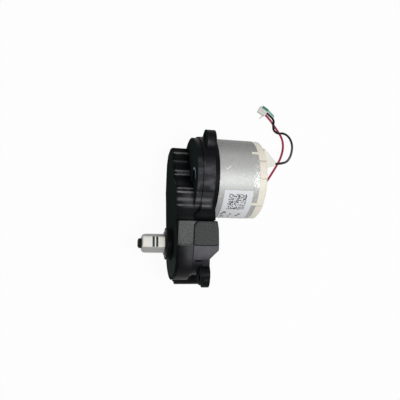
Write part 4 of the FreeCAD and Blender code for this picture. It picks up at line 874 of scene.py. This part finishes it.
class BRUSHDRIVE_OT_drive(BrushDriveOperator, bpy.types.Operator):
    """Dress the output shaft, the gears, the pins, the bushes and the washers"""
    bl_idname = "brush_drive.drive"
    bl_label = "Drive and gears"

    def execute(self, context):
        settings = self.settings().drive
        steel = settings.steel
        ground = ground_drive(settings)
        dress(ground, "output_shaft")
        keep("drive_form", drive_form(), ground, "output", "shaft_steel")
        dress(machined("ground_steel", steel, 0.16, around=9.0), "motor_shaft", "idler_pin")
        dress(machined("spring_steel", steel, 0.3), "output_spacer", "output_washer",
              "idler_washer_front", "idler_washer_rear", "magnet_clip")
        dress(moulded("gear_nylon", settings.nylon, 0.35, thin=0.1), "output_gear", "idler_gear")
        dress(machined("pinion_brass", settings.brass, 0.25), "motor_pinion",
              "brush_arm_left", "brush_arm_right")
        dress(sintered("bush_bronze", settings.bronze), "front_bush", "rear_bush",
              "motor_front_bush", "motor_rear_bush")
        return {"FINISHED"}


# Thin dark lines on the end cap: the place on Y, half the width, and how dark each one is
CAP_MARKS = ((26.9, 0.16, 0.6), (33.8, 0.35, 0.45), (16.4, 0.2, 0.4))


class BRUSHDRIVE_OT_motor(BrushDriveOperator, bpy.types.Operator):
    """Dress the can, the end cap, the terminals with their boot, and the label"""
    bl_idname = "brush_drive.motor"
    bl_label = "Motor"

    def execute(self, context):
        settings = self.settings().motor
        dress(zinc_plate(settings), "motor_can")
        dress(moulded("cap_ivory", settings.ivory, 0.42, thin=0.15, marks=CAP_MARKS), "motor_end_cap")
        dress(moulded("boot_ivory", settings.boot, 0.38, thin=0.2), "terminal_boot")
        dress(machined("tinned_brass", settings.tin, 0.3), "terminal_red", "terminal_black",
              "plug_contacts")
        dress(label_paper(settings), "motor_label")
        return {"FINISHED"}


class BRUSHDRIVE_OT_inside(BrushDriveOperator, bpy.types.Operator):
    """Dress the magnets, the armature, the commutator and the brushes"""
    bl_idname = "brush_drive.inside"
    bl_label = "Inside of the motor"

    def execute(self, context):
        settings = self.settings().inside
        dress(sintered("ferrite", settings.ferrite), "magnet_upper", "magnet_lower")
        dress(machined("core_steel", settings.core, 0.35, along=0.6, around=20.0), "armature_core")
        dress(wound_copper(settings), "armature_windings")
        dress(machined("segment_copper", settings.segment, 0.22), "commutator")
        dress(sintered("ring_ceramic", settings.ceramic), "varistor_ring")
        dress(sintered("carbon", settings.carbon), "carbon_brush_left", "carbon_brush_right")
        return {"FINISHED"}


class BRUSHDRIVE_OT_screws(BrushDriveOperator, bpy.types.Operator):
    """Dress the screws"""
    bl_idname = "brush_drive.screws"
    bl_label = "Screws"

    def execute(self, context):
        screw = self.settings().case.screw
        dress(machined("screw_zinc", screw, 0.24), "motor_screws", "case_screws")
        return {"FINISHED"}


class BRUSHDRIVE_OT_leads(BrushDriveOperator, bpy.types.Operator):
    """Lay the two leads and dress the plug and its tape"""
    bl_idname = "brush_drive.leads"
    bl_label = "Leads and plug"

    def execute(self, context):
        settings = self.settings().leads
        dress(moulded("plug_white", settings.plug, 0.4, thin=0.1), "wire_connector", "plug_tie")
        dress(tape_film("tape_green", settings.tape, 0.0), "green_tape")
        dress(tape_film("film_green", settings.film, 0.35), "tape_film")
        red = lead("red_lead", RED_ROUTE, settings.diameter, insulation("wire_red", settings.red),
                   "wire_red", "red_wire")
        black = lead("black_lead", BLACK_ROUTE, settings.diameter,
                     insulation("wire_black", settings.black), "wire_black", "black_wire")
        return {"FINISHED"}


class BRUSHDRIVE_OT_stage(BrushDriveOperator, bpy.types.Operator):
    """Set up the floor, the lamps, the surroundings and the camera"""
    bl_idname = "brush_drive.stage"
    bl_label = "Studio"

    def execute(self, context):
        settings = self.settings().studio
        add_floor(settings)
        add_surroundings(settings)
        add_lamps(settings)
        add_camera(settings)
        bpy.context.scene.view_settings.view_transform = "Standard"
        return {"FINISHED"}


def seen_directly(nodes):
    """1 for what the camera sees straight, in a mirror or through glass, and 0 for other light."""
    path = nodes.node("ShaderNodeLightPath")
    camera, shine, through = (Pattern(nodes, path.outputs[name]) for name in
                              ("Is Camera Ray", "Is Glossy Ray", "Is Transmission Ray"))
    return camera.larger(shine.larger(through))


# Half the floor's width, how far it lies under the object, and how much of it is plain white to the
# camera, because the rest keeps the object's shadow
FLOOR_HALF = 1.5
FLOOR_GAP = 0.02 * MM
FLOOR_WHITE = 0.94


def add_floor(settings):
    """A wide pale floor just under the object, nearly white to the camera but for its shadow."""
    mesh = bpy.data.meshes.new("floor")
    corners = [(x * FLOOR_HALF, y * FLOOR_HALF, FLOOR_Z - FLOOR_GAP)
               for x, y in ((-1, -1), (1, -1), (1, 1), (-1, 1))]
    mesh.from_pydata(corners, [], [(0, 1, 2, 3)])
    floor = bpy.data.objects.new("floor", mesh)
    bpy.context.scene.collection.objects.link(floor)
    finish = Finish("floor_white")
    lit = finish.node("ShaderNodeBsdfDiffuse", sockets={"Color": tuple(settings.floor)})
    white = finish.node("ShaderNodeEmission", sockets={"Color": (1.0, 1.0, 1.0), "Strength": 1.0})
    mixed = finish.node("ShaderNodeMixShader", sockets={0: seen_directly(finish) * FLOOR_WHITE,
                                                        1: lit.outputs[0], 2: white.outputs[0]})
    mesh.materials.append(finish.done(mixed.outputs[0]))


def add_surroundings(settings):
    """Soft light all round, and white where the camera or a shiny surface sees past the floor."""
    world = bpy.data.worlds.new("surroundings")
    world.use_nodes = True
    bpy.context.scene.world = world
    nodes = NodeTree(world.node_tree)
    strength = seen_directly(nodes) * (1.0 - settings.sky) + settings.sky
    background = nodes.node("ShaderNodeBackground", sockets={"Color": (1.0, 1.0, 1.0),
                                                             "Strength": strength})
    nodes.node("ShaderNodeOutputWorld", sockets={"Surface": background.outputs[0]})


# The lamps over the motor's rear and over the drive: the place and the size of each one, and the
# point that both shine at
LAMPS = (("key", (0.080, 0.000, 0.30), 0.13), ("fill", (-0.20, 0.06, 0.24), 0.20))
LAMP_AIM = (0.02, 0.02, 0.0)


def add_lamps(settings):
    """The key lamp and a weaker, larger fill."""
    for name, place, size in LAMPS:
        lamp = bpy.data.lights.new(name, "AREA")
        lamp.shape = "DISK"
        lamp.size = size
        lamp.energy = getattr(settings, name)
        holder = bpy.data.objects.new(name, lamp)
        bpy.context.scene.collection.objects.link(holder)
        holder.location = place
        holder.rotation_euler = (Vector(LAMP_AIM) - Vector(place)).to_track_quat("-Z", "Y").to_euler()


# Where the photograph was taken from, how the camera was turned in degrees, and its sensor's width
CAMERA_PLACE = (-26.35 * MM, 18.0 * MM, 178.5 * MM)
CAMERA_TURNS = ((-12.81, "Y"), (-0.02, "X"), (2.19, "Z"))
SENSOR_WIDTH = 36.0


def add_camera(settings):
    """The camera at the photograph's place."""
    camera = bpy.data.cameras.new("camera")
    camera.lens = settings.lens
    camera.sensor_width = SENSOR_WIDTH
    camera.clip_start = 0.005
    camera.clip_end = 10.0
    holder = bpy.data.objects.new("camera", camera)
    bpy.context.scene.collection.objects.link(holder)
    turned = Matrix.Identity(4)
    for degrees, axis in CAMERA_TURNS:
        turned = turned @ Matrix.Rotation(math.radians(degrees), 4, axis)
    holder.matrix_world = Matrix.Translation(CAMERA_PLACE) @ turned
    bpy.context.scene.camera = holder


OPERATORS = (BRUSHDRIVE_OT_case, BRUSHDRIVE_OT_drive, BRUSHDRIVE_OT_motor, BRUSHDRIVE_OT_inside,
             BRUSHDRIVE_OT_screws, BRUSHDRIVE_OT_leads, BRUSHDRIVE_OT_stage)


class BrushDriveSettings(bpy.types.PropertyGroup):
    """Every size and colour that can be changed."""
    case: PointerProperty(type=CaseSettings)
    motor: PointerProperty(type=MotorSettings)
    drive: PointerProperty(type=DriveSettings)
    inside: PointerProperty(type=InsideSettings)
    leads: PointerProperty(type=LeadSettings)
    studio: PointerProperty(type=StudioSettings)


class BRUSHDRIVE_PT_panel(bpy.types.Panel):
    """The operators, in the order that they run in"""
    bl_idname = "BRUSHDRIVE_PT_panel"
    bl_label = "Brush Drive"
    bl_space_type = "VIEW_3D"
    bl_region_type = "UI"
    bl_category = "Brush Drive"

    def draw(self, context):
        for operator in OPERATORS:
            self.layout.operator(operator.bl_idname)


CLASSES = (CaseSettings, MotorSettings, DriveSettings, InsideSettings, LeadSettings, StudioSettings,
           BrushDriveSettings, *OPERATORS, BRUSHDRIVE_PT_panel)


def register():
    for item in CLASSES:
        bpy.utils.register_class(item)
    bpy.types.Scene.brush_drive = PointerProperty(type=BrushDriveSettings)


def unregister():
    del bpy.types.Scene.brush_drive
    for item in reversed(CLASSES):
        bpy.utils.unregister_class(item)


def main():
    register()
    for operator in OPERATORS:
        group, name = operator.bl_idname.split(".")
        getattr(getattr(bpy.ops, group), name)()


if __name__ == "__main__":
    main()
